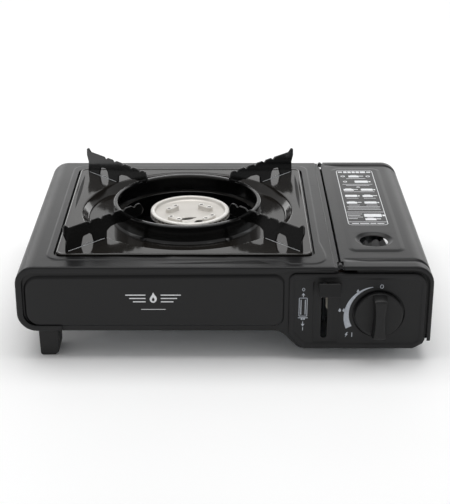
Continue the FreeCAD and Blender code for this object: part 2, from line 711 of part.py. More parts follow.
def make_mixing_tube():
    start, end = burner_x + 18, tube_end()
    outer, wall = size["tube_radius"], size["tube_wall"]
    height = size["tube_height"]
    shell = rod("tube_shell", "x", outer, (start, end), tray_y, height)
    bell = rod("tube_bell", "x", outer + 2.5, (end - 12, end), tray_y, height)
    bore = rod("tube_bore", "x", outer - wall, (start - 1, end + 1), tray_y, height)
    air = rod("air_hole", "z", 3, end - 6, tray_y, (height - 20, height + 20))
    keep(less("mixing_tube", fused("tube_outside", shell, bell), bore, air), "mixing_tube")


def make_jet():
    start = tube_end() - 4
    nose = rod("jet_nose", "x", 4, (start, start + 8), tray_y, size["tube_height"])
    nut = rod("jet_nut", "x", 5.5, (start + 8, start + 15), tray_y, size["tube_height"])
    hole = rod("jet_hole", "x", 0.6, (start - 1, start + 16), tray_y, size["tube_height"])
    keep(less("gas_jet", fused("jet_outside", nose, nut), hole), "gas_jet")


def swept(name, points, bend, radius):
    """A round section along straight runs joined by tangent arcs."""
    corners = [Vector(*[float(v) for v in point]) for point in points]
    edges, last = [], corners[0]
    for before, corner, after in zip(corners, corners[1:], corners[2:]):
        back, on = (before - corner).normalize(), (after - corner).normalize()
        half = back.getAngle(on) / 2
        reach = bend / math.tan(half)
        crown = corner + (back + on).normalize() * (bend / math.sin(half) - bend)
        edges.append(Part.LineSegment(last, corner + back * reach).toShape())
        edges.append(Part.Arc(corner + back * reach, crown, corner + on * reach).toShape())
        last = corner + on * reach
    edges.append(Part.LineSegment(last, corners[-1]).toShape())
    path = Part.Wire(edges)
    section = Part.Wire(Part.Circle(corners[0], corners[1] - corners[0], float(radius)).toShape())
    return solid(name, path.makePipeShell([section], True, False))


def make_gas_pipe():
    """From the regulator's top, over the lever, through the divider and back to the jet."""
    jet_back = tube_end() + 11
    height = size["tube_height"]
    run_x = bay_left - 9
    points = [(regulator_outlet_x, pipe_y, regulator_top), (regulator_outlet_x, pipe_y, pipe_z),
              (run_x, pipe_y, pipe_z), (run_x, front + 70, height),
              (run_x, tray_y, height), (jet_back, tray_y, height)]
    keep(swept("gas_pipe", points, 7, size["pipe_radius"]), "gas_pipe")


def make_ignition_lead():
    """From the piezo igniter, over the lever, through the divider to the electrode."""
    start = piezo_left
    points = [(start, piezo_y, piezo_z), (start - 8, piezo_y, piezo_z), (start - 8, lead_y, lead_z),
              (bay_left - 8, lead_y, lead_z), (bay_left - 26, front + 30, 60), (burner_x + 40, tray_y - 62, 52),
              (electrode_x, electrode_y, 46), (electrode_x, electrode_y, 56)]
    keep(swept("ignition_lead", points, 4, size["lead_radius"]), "ignition_lead")


def make_electrode():
    high = size["burner_height"]
    sleeve = rod("ceramic_sleeve", "z", 2.6, electrode_x, electrode_y, (56, high - 8))
    collar = rod("ceramic_collar", "z", 3.6, electrode_x, electrode_y, (62, 66))
    bore = rod("ceramic_bore", "z", 0.8, electrode_x, electrode_y, (55, high))
    keep(less("igniter_ceramic", fused("ceramic", sleeve, collar), bore), "igniter_ceramic")
    keep(rod("igniter_electrode", "z", 0.75, electrode_x, electrode_y, (56.5, high - 1)), "igniter_electrode")
    plate = block("electrode_plate", (electrode_x - 5, electrode_x + 5), (electrode_y - 5, electrode_y + 12),
                  (60.8, 62))
    hole = rod("electrode_hole", "z", 2.8, electrode_x, electrode_y, (60, 63))
    keep(less("electrode_bracket", plate, hole), "electrode_bracket")


def make_burner_mount():
    low = under + 2 * skin
    seat = size["burner_height"] - size["burner_depth"] - 6
    column = rod("mount_column", "z", 9, burner_x, tray_y, (low, seat))
    arm = block("mount_arm", (burner_x - 42, burner_x + 14), (tray_y - 12, tray_y + 12), (low, low + 1.5))
    post = block("mount_post", (electrode_x - 2, electrode_x + 5), (electrode_y + 8, electrode_y + 12),
                 (low + 1.5, 60.8))
    keep(fused("burner_bracket", column, arm), "burner_bracket")
    foot = block("post_foot", (electrode_x - 2, electrode_x + 5), (electrode_y + 2, electrode_y + 12),
                 (low, low + 1.5))
    keep(fused("electrode_post", post, foot), "electrode_post")
    heads = []
    for index, offset in enumerate((-36, -22)):
        heads.append(rod("burner_screw_head_%d" % index, "z", 3, burner_x + offset, tray_y, (low + 1.5, low + 3.6)))
    screws = fused("burner_screws", *heads)
    keep(screws, "burner_screws")


# ---- gas control ----

piezo_y, piezo_z = front + 9, knob_z
piezo_left = knob_x - 34
electrode_x, electrode_y = burner_x + 28, tray_y - 34


def make_regulator():
    radius = size["regulator_radius"]
    can = rod("regulator_can", "y", radius, knob_x, (regulator_face, regulator_back), knob_z)
    dome = rod("regulator_side", "x", 13, (knob_x + 8, knob_x + 22), regulator_face + 13, knob_z)
    outlet = rod("regulator_outlet", "z", 4.5, regulator_outlet_x, pipe_y, (knob_z, regulator_top))
    spindle = rod("spindle_bore", "y", size["spindle_radius"] + size["run_gap"], knob_x,
                  (regulator_face - 1, regulator_face + 12), knob_z)
    probe = rod("probe_bore", "y", 2, knob_x, (regulator_back - 8, regulator_back + 1), canister_z)
    keep(less("regulator_body", fused("regulator_casting", can, dome, outlet), spindle, probe), "regulator_body")
    cover = rod("cover_disc", "x", 13, (knob_x + 22, knob_x + 25), regulator_face + 13, knob_z)
    boss = rod("cover_boss", "x", 5, (knob_x + 25, knob_x + 29), regulator_face + 13, knob_z)
    keep(fused("regulator_cover", cover, boss), "regulator_cover")
    heads = []
    for index in range(4):
        turn = math.radians(45 + 90 * index)
        heads.append(rod("cover_screw_%d" % index, "x", 1.8, (knob_x + 25, knob_x + 26.6),
                         regulator_face + 13 + 9.5 * math.cos(turn), knob_z + 9.5 * math.sin(turn)))
    screws = fused("regulator_screws", *heads)
    keep(screws, "regulator_screws")
    post = block("regulator_post", (knob_x - 10, knob_x + 10), (regulator_face + 4, regulator_face + 6),
                 (bay_floor, knob_z))
    foot = block("regulator_foot", (knob_x - 10, knob_x + 10), (regulator_face + 4, regulator_face + 18),
                 (bay_floor, bay_floor + 1.5))
    saddle = rod("regulator_saddle", "y", radius, knob_x, (regulator_face - 1, regulator_back), knob_z)
    keep(less("regulator_bracket", fused("regulator_stand", post, foot), saddle), "regulator_bracket")


def make_inlet():
    ring = rod("inlet_ring", "y", size["inlet_radius"], knob_x, (regulator_back, inlet_back), canister_z)
    seat = regulator_back + size["inlet_seat"]
    mouth = rod("inlet_mouth", "y", size["inlet_bore"], knob_x, (seat, inlet_back + 1), canister_z)
    throat = rod("inlet_throat", "y", size["inlet_bore"] - 0.6, knob_x, (regulator_back - 1, inlet_back), canister_z)
    keep(less("canister_inlet", ring, mouth, throat), "canister_inlet")
    seal = rod("seal_ring", "y", size["inlet_bore"] - 0.7, knob_x, (regulator_back, seat - 1), canister_z)
    seal_hole = rod("seal_hole", "y", 2.2, knob_x, (regulator_back - 1, regulator_back + 3), canister_z)
    keep(less("inlet_seal", seal, seal_hole), "inlet_seal")
    probe = rod("probe_stem", "y", 1.9, knob_x, (regulator_back - 7, seat), canister_z)
    probe_hole = rod("probe_hole", "y", 0.6, knob_x, (regulator_back - 8, seat + 1), canister_z)
    keep(less("inlet_probe", probe, probe_hole), "inlet_probe")


def make_canister_locator():
    """The tab over the inlet that fits the notch in a canister's collar."""
    tab = block("locator_tab", (knob_x - 3, knob_x + 3), (regulator_back, regulator_back + 13),
                (canister_z + size["inlet_radius"] + 1, canister_z + size["inlet_radius"] + 2.5))
    plate = block("locator_plate", (knob_x - 4, knob_x + 4), (regulator_back - 14, regulator_back),
                  (knob_z + size["regulator_radius"], canister_z + size["inlet_radius"] + 2.5))
    keep(fused("canister_locator", tab, plate), "canister_locator")


def make_leaf_spring():
    """The leaf at the bay's back end that presses a canister forward."""
    face = rear_back - 0.4
    plate = block("leaf_plate", (knob_x - 8, knob_x + 8), (face - 1, face), (bay_floor, canister_z + 14))
    tongue = block("leaf_tongue", (knob_x - 8, knob_x + 8), (face - 5, face - 1), (canister_z + 12, canister_z + 14))
    bow = block("leaf_bow", (knob_x - 8, knob_x + 8), (face - 6, face - 5), (canister_z - 14, canister_z + 14))
    keep(fused("canister_leaf_spring", plate, tongue, bow), "canister_leaf_spring")


# ---- knob, cam and igniter ----

def make_knob():
    body = new_body("knob")
    disc = sketch_on(body, "knob_disc", "XZ_Plane", -front - 1.4)
    circle(disc, size["knob_radius"])
    plate = pad(body, disc, size["disc_reach"] + 1.4)
    doc.recompute()
    rim = body.newObject("PartDesign::Chamfer", "disc_chamfer")
    edges = plate.Shape.Edges
    lowest = min(range(len(edges)), key=lambda i: edges[i].BoundBox.YMax)
    rim.Base = (plate, ["Edge%d" % (lowest + 1)])
    rim.Size = 1.2
    grip = sketch_on(body, "grip_side", "XZ_Plane", -front)
    half, waist = size["grip_width"].value / 2, size["grip_waist"].value / 2
    reach = size["knob_radius"].value - 0.3
    grip.addGeometry([
        Part.LineSegment(Vector(-half, reach, 0), Vector(half, reach, 0)),
        Part.Arc(Vector(half, reach, 0), Vector(waist, 0, 0), Vector(half, -reach, 0)),
        Part.LineSegment(Vector(half, -reach, 0), Vector(-half, -reach, 0)),
        Part.Arc(Vector(-half, -reach, 0), Vector(-waist, 0, 0), Vector(-half, reach, 0))], False)
    pad(body, grip, size["knob_reach"])
    body_rod(body, "knob_bore", "y", size["spindle_radius"] + size["run_gap"], 0, (front - 7, front + 3), 0, cut=True)
    bind_place(body, knob_x, 0, knob_z)
    return body


def make_spindle():
    start, end = front - 6.5, regulator_face + 11
    shaft = rod("spindle_shaft", "y", size["spindle_radius"], knob_x, (start, end), knob_z)
    keep(fused("valve_spindle", shaft, rod("spindle_tip", "y", 2, knob_x, (end, end + 0.5), knob_z)), "valve_spindle")


def make_cam():
    """A spiral that pushes the plunger to the left by an even amount for each degree of the knob."""
    base, rise, turn = size["cam_radius"].value, size["cam_rise"].value, size["cam_turn"].value
    steps = 24
    points = []
    for step in range(steps + 1):
        share = step / steps
        angle = math.radians(180 - turn * share)
        radius = base + rise * share
        points.append(Vector(radius * math.cos(angle), radius * math.sin(angle), 0))
    spiral = Part.BSplineCurve()
    spiral.interpolate(points)
    last, first = points[-1], points[0]
    inner = last * (base / last.Length)
    body = new_body("igniter_cam")
    cam = sketch_on(body, "cam_side", "XZ_Plane", -front - 10.5)
    cam.addGeometry([spiral, Part.LineSegment(last, inner),
                     Part.Arc(inner, Vector(base * math.cos(-math.pi / 3), base * math.sin(-math.pi / 3), 0), first)],
                    False)
    pad(body, cam, 3)
    body_rod(body, "cam_bore", "y", size["spindle_radius"] + size["run_gap"], 0, (front + 6, front + 12), 0, cut=True)
    bind_place(body, knob_x, 0, knob_z)
    return body


def make_piezo():
    tip = knob_x - size["cam_radius"] - size["cam_gap"]
    case_right = tip - size["cam_rise"] - 1.5
    nose = rod("plunger_nose", "x", size["plunger_radius"], (case_right - 8, tip - 0.6), piezo_y, piezo_z)
    point = rod("plunger_point", "x", 1, (tip - 0.6, tip), piezo_y, piezo_z)
    keep(fused("piezo_plunger", nose, point), "piezo_plunger")
    case = rod("piezo_case", "x", size["piezo_radius"], (piezo_left, case_right), piezo_y, piezo_z)
    bore = rod("piezo_bore", "x", size["plunger_radius"] + size["run_gap"],
               (case_right - 8 - size["cam_rise"] - 0.5, case_right + 1), piezo_y, piezo_z)
    keep(less("piezo_igniter", case, bore), "piezo_igniter")
    strap = block("piezo_strap", (piezo_left + 5, piezo_left + 9), (panel_back + 0.2, piezo_y + 5.5),
                  (piezo_z - 5.5, piezo_z + 5.5))
    room = rod("strap_room", "x", size["piezo_radius"] + 0.02, (piezo_left, case_right), piezo_y, piezo_z)
    keep(less("piezo_clip", strap, room), "piezo_clip")


# ---- lever and carriage ----

def turned_block(name, x, reach, height):
    """A block set out from the lever's pivot by its reach forwards and its height, then turned up to rest."""
    box = doc.addObject("Part::Box", name)
    bind(box, Length=as_size(x[1]) - x[0], Width=as_size(reach[1]) - reach[0],
         Height=as_size(height[1]) - height[0])
    turn = Rotation(Vector(1, 0, 0), -half_swing)
    corner = turn.multVec(Vector(float(x[0]), -float(reach[1]), float(height[0])))
    box.Placement = Placement(corner + Vector(0, float(pivot_y), float(pivot_z)), turn)
    return box


def make_lever():
    tab_start = size["lever_length"] + 0.6
    arm = turned_block("lever_bar", (lever_left, lever_right), (0, tab_start + 3), (-3.4, 3.4))
    crank = turned_block("lever_crank", (lever_left, lever_right), (-3, 3), (0, size["crank_length"] + 2))
    hub = rod("lever_hub", "x", 5, (lever_left, lever_right), pivot_y, pivot_z)
    turn = math.radians(half_swing)
    crank_y = pivot_y + size["crank_length"] * math.sin(turn)
    crank_z = pivot_z + size["crank_length"] * math.cos(turn)
    peg = rod("crank_peg", "x", size["crank_radius"], (lever_right, lever_right + 5), crank_y, crank_z)
    bore = rod("lever_bore", "x", 2 + size["run_gap"], (lever_left - 1, lever_right + 1), pivot_y, pivot_z)
    keep(less("lever_arm", fused("lever_steel", arm, crank, hub, peg), bore), "lever_arm")
    tab = turned_block("lever_cap", (slot_middle - 5.35, slot_middle + 11.95), (tab_start, tab_start + 5.5),
                       (-5.5, 5.5))
    room = turned_block("lever_cap_room", (lever_left, lever_right), (0, tab_start + 3), (-3.4, 3.4))
    keep(less("lever_tab", tab, room), "lever_tab")
    return crank_y


def make_lever_mount():
    cheeks = [(lever_left - 9, lever_left - 7.8), (lever_left - 2, lever_left - 0.8)]
    walls = [block("cheek_%d" % i, x, (pivot_y - 7, pivot_y + 12), (bay_floor, pivot_z + 7))
             for i, x in enumerate(cheeks)]
    web = block("cheek_web", (cheeks[0][0], cheeks[1][1]), (pivot_y + 10.8, pivot_y + 12), (bay_floor, pivot_z + 7))
    hole = rod("cheek_hole", "x", 2, (lever_left - 12, lever_left), pivot_y, pivot_z)
    keep(less("lever_bracket", fused("lever_stand", *walls, web), hole), "lever_bracket")
    keep(rod("lever_pivot_pin", "x", 2, (lever_left - 10, lever_right + 0.6), pivot_y, pivot_z), "lever_pivot_pin")


def make_carriage(crank_y):
    """The plate that draws a canister's collar onto the inlet as the lever goes down."""
    gap, peg = size["carriage_gap"], size["crank_radius"]
    ear_x = (lever_right + 1.4, lever_right + 2.9)
    ear = block("carriage_ear", ear_x, (crank_y - 4.5, crank_y + 6), (bay_floor + 2, pivot_z + 12))
    slot = block("carriage_slot", (ear_x[0] - 1, ear_x[1] + 1), (crank_y - peg - gap, crank_y + peg + gap),
                 (pivot_z + 2.6, pivot_z + 9))
    plate_y = (crank_y + 4.5, crank_y + 6)
    plate = block("carriage_plate", (ear_x[0], knob_x + 22), plate_y, (bay_floor + 2, canister_z + 4))
    neck = rod("carriage_neck", "y", 18, knob_x, (plate_y[0] - 1, plate_y[1] + 1), canister_z)
    mouth = block("carriage_mouth", (knob_x - 18, knob_x + 18), (plate_y[0] - 1, plate_y[1] + 1),
                  (canister_z, canister_z + 10))
    keep(less("canister_carriage", fused("carriage_steel", ear, plate), slot, neck, mouth), "canister_carriage")
    rails = [block("carriage_rail_%d" % i, (x, x + 5), (crank_y - 3, crank_y + 12), (bay_floor, bay_floor + 1.8))
             for i, x in enumerate((ear_x[0] + 4, knob_x + 14))]
    keep(fused("carriage_guide", *rails), "carriage_guide")


# ---- feet and screws ----

def make_feet():
    gap = size["foot_setback"]
    depth, high = size["foot_depth"], under
    start = left + size["foot_start"]
    for label, near in (("front_left", front + gap), ("rear_left", rear - gap - depth)):
        body = new_body("foot_" + label)
        face = sketch_on(body, "foot_face_" + label, "XZ_Plane", -near - depth)
        end = start + size["foot_width"]
        outline(face, [(start, high), (end, high), (end - 0.5, 3), (end - 3.5, 0), (start + 0.8, 0, 2.5)])
        pad(body, face, depth)
    start = left + size["pad_place"]
    gap = size["pad_setback"]
    for label, near in (("front_right", front + gap), ("rear_right", rear - gap - depth)):
        body = new_body("foot_" + label)
        face = sketch_on(body, "foot_face_" + label, "XZ_Plane", -near - depth)
        end = start + size["pad_width"]
        outline(face, [(start, size["bay_low"]), (end, size["bay_low"]), (end - 1, 0, 1.5), (start + 1, 0, 1.5)])
        pad(body, face, depth)


def make_base_screws():
    heads = []
    spots = [(left + 60, front + 20, under + skin), (left + 60, rear - 20, under + skin),
             (bay_left - 20, front + 20, under + skin), (bay_left - 20, rear - 20, under + skin),
             (right - 21, front + 60, size["bay_low"]), (right - 21, rear - 60, size["bay_low"])]
    for index, (x, y, high) in enumerate(spots):
        heads.append(rod("base_screw_%d" % index, "z", 3.2, x, y, (high - 2, high)))
    screws = fused("base_screws", *heads)
    keep(screws, "base_screws")


def make_heat_shield():
    low = under + 2 * skin
    plate = block("shield_plate", (burner_x - 60, burner_x + 70), (tray_y - 75, tray_y + 75), (low + 8, low + 8.6))
    hole = rod("shield_hole", "z", 24, burner_x, tray_y, (low, low + 20))
    legs = [block("shield_leg_%d" % i, (burner_x - 60, burner_x + 70), (y, y + 0.8), (low, low + 8.6))
            for i, y in enumerate((tray_y - 75, tray_y + 74.2))]
    room = block("post_room", (electrode_x - 8, electrode_x + 8), (electrode_y - 6, electrode_y + 14),
                 (low + 1, low + 10))
    keep(less("heat_shield", fused("shield_steel", plate, *legs), hole, room), "heat_shield")


def check_and_export():
    doc.recompute()
    failed = [thing.Label for thing in doc.Objects if set(thing.State) & {"Invalid", "Error"}]
    if failed:
        raise SystemExit("failed: " + ", ".join(failed))
    for thing in subparts:
        if thing.Shape.isNull() or not thing.Shape.isValid() or not thing.Shape.Solids:
            raise SystemExit("bad shape: " + thing.Label)
    for thing in subparts:
        thing.Shape.exportStep("parts/%s.step" % thing.Label)
        print("%-26s %2d solids %10.1f mm3" % (thing.Label, len(thing.Shape.Solids), thing.Shape.Volume))


make_top_shell()
make_front_panel()
make_rear_panel()
make_base_pan()
make_canister_tray()
make_bay_divider()
make_control_panel()
make_lid()
make_hinges()
make_lid_catch()
make_drip_tray()
make_collar()
make_supports()
make_burner_bowl()
make_burner_cap()
make_mixing_tube()
make_jet()
make_gas_pipe()
make_ignition_lead()
make_electrode()
make_burner_mount()
make_heat_shield()
make_regulator()
make_inlet()
make_canister_locator()
make_leaf_spring()
make_knob()
make_spindle()
make_cam()
make_piezo()
make_carriage(make_lever())
make_lever_mount()
make_feet()
make_base_screws()
check_and_export()
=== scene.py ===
# %% [markdown]
# # A one-burner portable gas stove
# The stove is a folded sheet-metal case with a lift-out drip tray, a cast burner and a bay for a gas
# canister under a hinged lid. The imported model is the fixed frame: it gives every place and size, and each
# piece made here rides on one of its bodies, so the joints still work.

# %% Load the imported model
import json
import math

import bmesh
import bpy
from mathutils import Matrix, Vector
from mathutils.geometry import tessellate_polygon


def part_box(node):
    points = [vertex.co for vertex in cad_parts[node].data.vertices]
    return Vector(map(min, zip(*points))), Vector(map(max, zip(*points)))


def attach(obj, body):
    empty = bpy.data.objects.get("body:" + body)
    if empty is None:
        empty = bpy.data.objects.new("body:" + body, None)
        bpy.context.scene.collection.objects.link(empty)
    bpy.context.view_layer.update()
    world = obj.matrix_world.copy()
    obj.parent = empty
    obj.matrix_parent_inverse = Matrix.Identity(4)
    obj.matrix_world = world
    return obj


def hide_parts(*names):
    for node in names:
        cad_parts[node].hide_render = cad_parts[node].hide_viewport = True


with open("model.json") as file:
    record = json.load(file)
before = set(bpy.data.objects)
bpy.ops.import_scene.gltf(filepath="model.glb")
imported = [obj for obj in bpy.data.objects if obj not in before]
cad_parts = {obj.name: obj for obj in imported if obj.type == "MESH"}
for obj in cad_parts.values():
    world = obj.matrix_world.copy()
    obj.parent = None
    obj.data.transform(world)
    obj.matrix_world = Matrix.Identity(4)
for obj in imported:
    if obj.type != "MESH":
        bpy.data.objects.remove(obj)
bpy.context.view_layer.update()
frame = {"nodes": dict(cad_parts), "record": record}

# %% [markdown]
# ## The camera and the light
# A catalogue view looks down on the stove from the front with a long lens, so upright edges stay almost
# parallel. Dark satin paint has little colour of its own: what is seen on it is the light it reflects. So
# the light is built from large soft panels, and the one low behind the stove is the one that the top
# surfaces mirror.

# %% Camera
CAMERA_TILT = 66.417


def placed(name, data):
    """A new object, linked into the scene."""
    thing = bpy.data.objects.new(name, data)
    bpy.context.collection.objects.link(thing)
    return thing


camera = placed("camera", bpy.data.cameras.new("camera"))
camera.location = (0.00047, -1.03715, 0.49904)
camera.rotation_euler = (math.radians(CAMERA_TILT), 0, 0)
camera.data.lens, camera.data.sensor_width = 89.42, 36
bpy.context.scene.camera = camera
print("camera looks", round(90 - CAMERA_TILT, 1), "degrees down")


# %% Soft light panels
def light_panel(name, place, aim, width, height, brightness, colour=(1, 1, 1)):
    """A rectangle of even light; brightness is the radiance that a mirror would show."""
    lamp = bpy.data.lights.new(name, "AREA")
    lamp.shape, lamp.size, lamp.size_y, lamp.color = "RECTANGLE", width, height, colour
    lamp.energy = brightness * math.pi * width * height
    thing = placed(name, lamp)
    thing.location = place
    thing.rotation_euler = (Vector(aim) - Vector(place)).to_track_quat("-Z", "Y").to_euler()


light_panel("overhead_light", (0, 0.1, 1.9), (0, 0, 0), 1.9, 1.5, 2.75)
light_panel("low_rear_light", (0, 2.1, 0.46), (0, 0, 0.12), 3.2, 0.42, 1.85)
light_panel("backdrop_light", (0, 2.3, 1.15), (0, 0, 0.1), 3.4, 0.9, 0.55)
light_panel("left_light", (-1.7, -0.1, 0.75), (0, 0, 0.05), 1.0, 0.9, 1.0)
light_panel("right_light", (1.7, 0.3, 0.7), (0, 0, 0.05), 1.0, 0.8, 0.8, (0.93, 0.97, 1))
world = bpy.data.worlds.new("studio")
world.use_nodes = True
world.node_tree.nodes["Background"].inputs["Color"].default_value = (1, 1, 1, 1)
world.node_tree.nodes["Background"].inputs["Strength"].default_value = 0.5
bpy.context.scene.world = world
bpy.context.scene.view_settings.view_transform = "Standard"

# %% [markdown]
# ## A small language for nodes
# Materials and Geometry Nodes are graphs. Wrapping a socket in a class lets plain arithmetic add the Math
# nodes, and one method makes every other node: its settings first, then the values or links of its sockets.


# %% Sockets that take arithmetic
class Wire:
    """A node's output; an expression on it adds Math nodes."""

    def __init__(self, graph, socket):
        self.graph, self.socket = graph, socket

    def __add__(self, other):
        return self.graph.math("ADD", self, other)

    def __mul__(self, other):
        return self.graph.math("MULTIPLY", self, other)

    def __truediv__(self, other):
        return self.graph.math("DIVIDE", self, other)

    __radd__ = __add__


class Graph:
    """A node tree with one method for making a node."""

    def __init__(self, tree):
        self.tree = tree
        tree.nodes.clear()

    def node(self, kind, settings={}, values={}, out=0):
        made = self.tree.nodes.new(kind)
        for name, value in settings.items():
            if name == "stops":
                for stop, (place, colour) in zip((made.color_ramp.elements[0], made.color_ramp.elements[1]),
                                                 value):
                    stop.position, stop.color = place, colour
            else:
                setattr(made, name, value)
        for name, value in values.items():
            if isinstance(value, Wire):
                self.tree.links.new(value.socket, made.inputs[name])
            else:
                made.inputs[name].default_value = value
        return Wire(self, made.outputs[out]) if len(made.outputs) else None

    def math(self, operation, first, second):
        return self.node("ShaderNodeMath", {"operation": operation}, {0: first, 1: second})


# %% [markdown]
# ## Patterns for the finishes
# Paint, enamel and moulded plastic differ mostly in the size of their grain and in how much the gloss
# wanders. Noise at a real size in millimetres gives each one, read from Object coordinates so that it stays
# on the piece as it moves.

# %% Patterns
def tone(red, green=None, blue=None):
    """A colour from screen values of 0 to 255."""
    shades = [value / 255 for value in (red, red if green is None else green, red if blue is None else blue)]
    return [v / 12.92 if v <= 0.04045 else ((v + 0.055) / 1.055) ** 2.4 for v in shades] + [1]


def noise(graph, place, size, detail=2.0, stretch=None):
    """Smooth random values whose lumps are about size millimetres across."""
    if stretch:
        place = graph.node("ShaderNodeMapping", {}, {"Vector": place, "Scale": stretch})
    return graph.node("ShaderNodeTexNoise", {}, {"Vector": place, "Scale": 1000 / size, "Detail": detail})


def cells(graph, place, size):
    """A random colour for each crystal-like cell of about size millimetres."""
    return graph.node("ShaderNodeTexVoronoi", {}, {"Vector": place, "Scale": 1000 / size}, out="Color")


def ramp(graph, value, low, high):
    """0 below low and 1 above high."""
    black, white = (0, 0, 0, 1), (1, 1, 1, 1)
    return graph.node("ShaderNodeValToRGB", {"stops": [(low, black), (high, white)]}, {"Fac": value})


def blend(graph, share, first, second):
    return graph.node("ShaderNodeMix", {"data_type": "RGBA"}, {0: share, 6: first, 7: second}, out=2)


def bump(graph, height, depth, strength=1.0):
    """Surface relief; depth in millimetres is what a height of 1 stands for."""
    return graph.node("ShaderNodeBump", {},
                      {"Height": height, "Distance": depth / 1000, "Strength": strength})


def surface(name, vary, **fixed):
    """A material: fixed values go on the shader's sockets, and vary returns those that change."""
    material = bpy.data.materials.new(name)
    material.use_nodes = True
    graph = Graph(material.node_tree)
    place = graph.node("ShaderNodeTexCoord", out="Object")
    values = {key.replace("_", " "): value for key, value in fixed.items()}
    shader = graph.node("ShaderNodeBsdfPrincipled", {}, {**values, **vary(graph, place)})
    graph.node("ShaderNodeOutputMaterial", {}, {"Surface": shader})
    return material


# %% [markdown]
# ## Paints and enamels
# The case is satin black paint with a slight orange peel, a little gloss that wanders and a few fine
# scuffs. The drip tray and its supports are fired enamel: smoother, deeper and glossier, with tiny specks.

# %% Paint and enamel
def satin_paint(graph, place):
    peel, cloud = noise(graph, place, 1.1), noise(graph, place, 55)
    scuff = ramp(graph, noise(graph, place, 3, 6.0, (0.35, 1, 1)), 0.66, 0.74)
    return {"Base Color": blend(graph, cloud * 0.7 + scuff * 0.3, tone(14, 14, 15), tone(21, 21, 22)),
            "Roughness": 0.33 + cloud * 0.07 + scuff * 0.08,
            "Normal": bump(graph, peel, 0.012)}


def vitreous(graph, place):
    wave, speck = noise(graph, place, 14), ramp(graph, noise(graph, place, 0.8, 1.0), 0.72, 0.8)
    cloud = noise(graph, place, 45)
    return {"Base Color": blend(graph, speck * 0.4 + cloud * 0.3, tone(20, 18, 16), tone(44, 41, 37)),
            "Roughness": 0.075 + cloud * 0.06 + speck * 0.08,
            "Normal": bump(graph, wave + speck * 0.05, 0.05)}


def black_enamel(graph, place):
    wave, speck = noise(graph, place, 5), ramp(graph, noise(graph, place, 0.8, 1.0), 0.7, 0.78)
    return {"Base Color": blend(graph, speck * 0.5, tone(9, 9, 9), tone(22, 21, 20)),
            "Roughness": 0.1 + wave * 0.07 + speck * 0.08,
            "Normal": bump(graph, wave + speck * 0.05, 0.03)}


SHELL_PAINT = surface("satin_black_paint", satin_paint, Specular_IOR_Level=0.3)
ENAMEL = surface("tray_enamel", vitreous, Specular_IOR_Level=0.5)
SUPPORT_ENAMEL = surface("support_enamel", black_enamel, Specular_IOR_Level=0.5)

# %% [markdown]
# ## Plastics and rubber
# The control panel and knob are spark-eroded plastic: a fine mottled grain that catches the light. Feet and
# seals are matt, with moulding flow in their shade.


# %% Plastic and rubber
def moulded_plastic(graph, place):
    grain, flow = noise(graph, place, 0.45, 3.0), noise(graph, place, 18)
    return {"Base Color": blend(graph, grain * 0.6 + flow * 0.2, tone(16, 16, 17), tone(28, 28, 29)),
            "Roughness": 0.44 + grain * 0.16,
            "Normal": bump(graph, grain, 0.05)}


def knob_plastic(graph, place):
    grain, flow = noise(graph, place, 0.6, 4.0), noise(graph, place, 9)
    return {"Base Color": blend(graph, grain * 0.8, tone(12, 12, 12), tone(27, 27, 28)),
            "Roughness": 0.38 + grain * 0.14 + flow * 0.05,
            "Normal": bump(graph, grain, 0.07)}


def rubber(graph, place):
    grain, flow = noise(graph, place, 0.5, 2.0), noise(graph, place, 6)
    return {"Base Color": blend(graph, flow, tone(26), tone(38)),
            "Roughness": 0.62 + flow * 0.12,
            "Normal": bump(graph, grain, 0.03)}


CONTROL_PLASTIC = surface("control_plastic", moulded_plastic, Specular_IOR_Level=0.32)
KNOB_PLASTIC = surface("knob_plastic", knob_plastic, Specular_IOR_Level=0.32)
FOOT_RUBBER = surface("foot_rubber", rubber, Specular_IOR_Level=0.4)
# This matt black is the inlet seal's rubber, and it also paints shade: the tray's creases and the strip behind
# the lid's gap.
SEAL_RUBBER_AND_SHADE = surface("seal_rubber", rubber, Specular_IOR_Level=0.3)
PIEZO_CASE = surface("piezo_case", rubber, Specular_IOR_Level=0.5)

# %% [markdown]
# ## Bare metals
# The cast burner is blasted to an even, pale bloom. Hidden steel is galvanised, with large crystal
# spangles, or plated. Brass, copper and die-cast zinc tarnish in soft clouds.


# %% Metals
def blasted_casting(graph, place):
    grain, cloud = noise(graph, place, 0.5, 3.0), noise(graph, place, 12)
    return {"Base Color": blend(graph, cloud * 0.6 + grain * 0.4, tone(196, 192, 186), tone(226, 223, 218)),
            "Roughness": 0.46 + grain * 0.12, "Normal": bump(graph, grain, 0.03)}


def spangle(graph, place):
    crystal = noise(graph, cells(graph, place, 7), 900, 1.0)
    fine = noise(graph, place, 1.2, 3.0)
    return {"Base Color": blend(graph, crystal, tone(128, 132, 136), tone(176, 179, 182)),
            "Roughness": 0.36 + crystal * 0.16 + fine * 0.06, "Normal": bump(graph, fine, 0.01)}


def tarnish(fresh, dull, size=5.0, rough=0.28):
    def vary(graph, place):
        cloud, fine = noise(graph, place, size, 4.0), noise(graph, place, 0.6, 2.0, (0.2, 1, 1))
        return {"Base Color": blend(graph, ramp(graph, cloud, 0.35, 0.7), fresh, dull),
                "Roughness": rough + cloud * 0.16, "Normal": bump(graph, fine, 0.008)}
    return vary


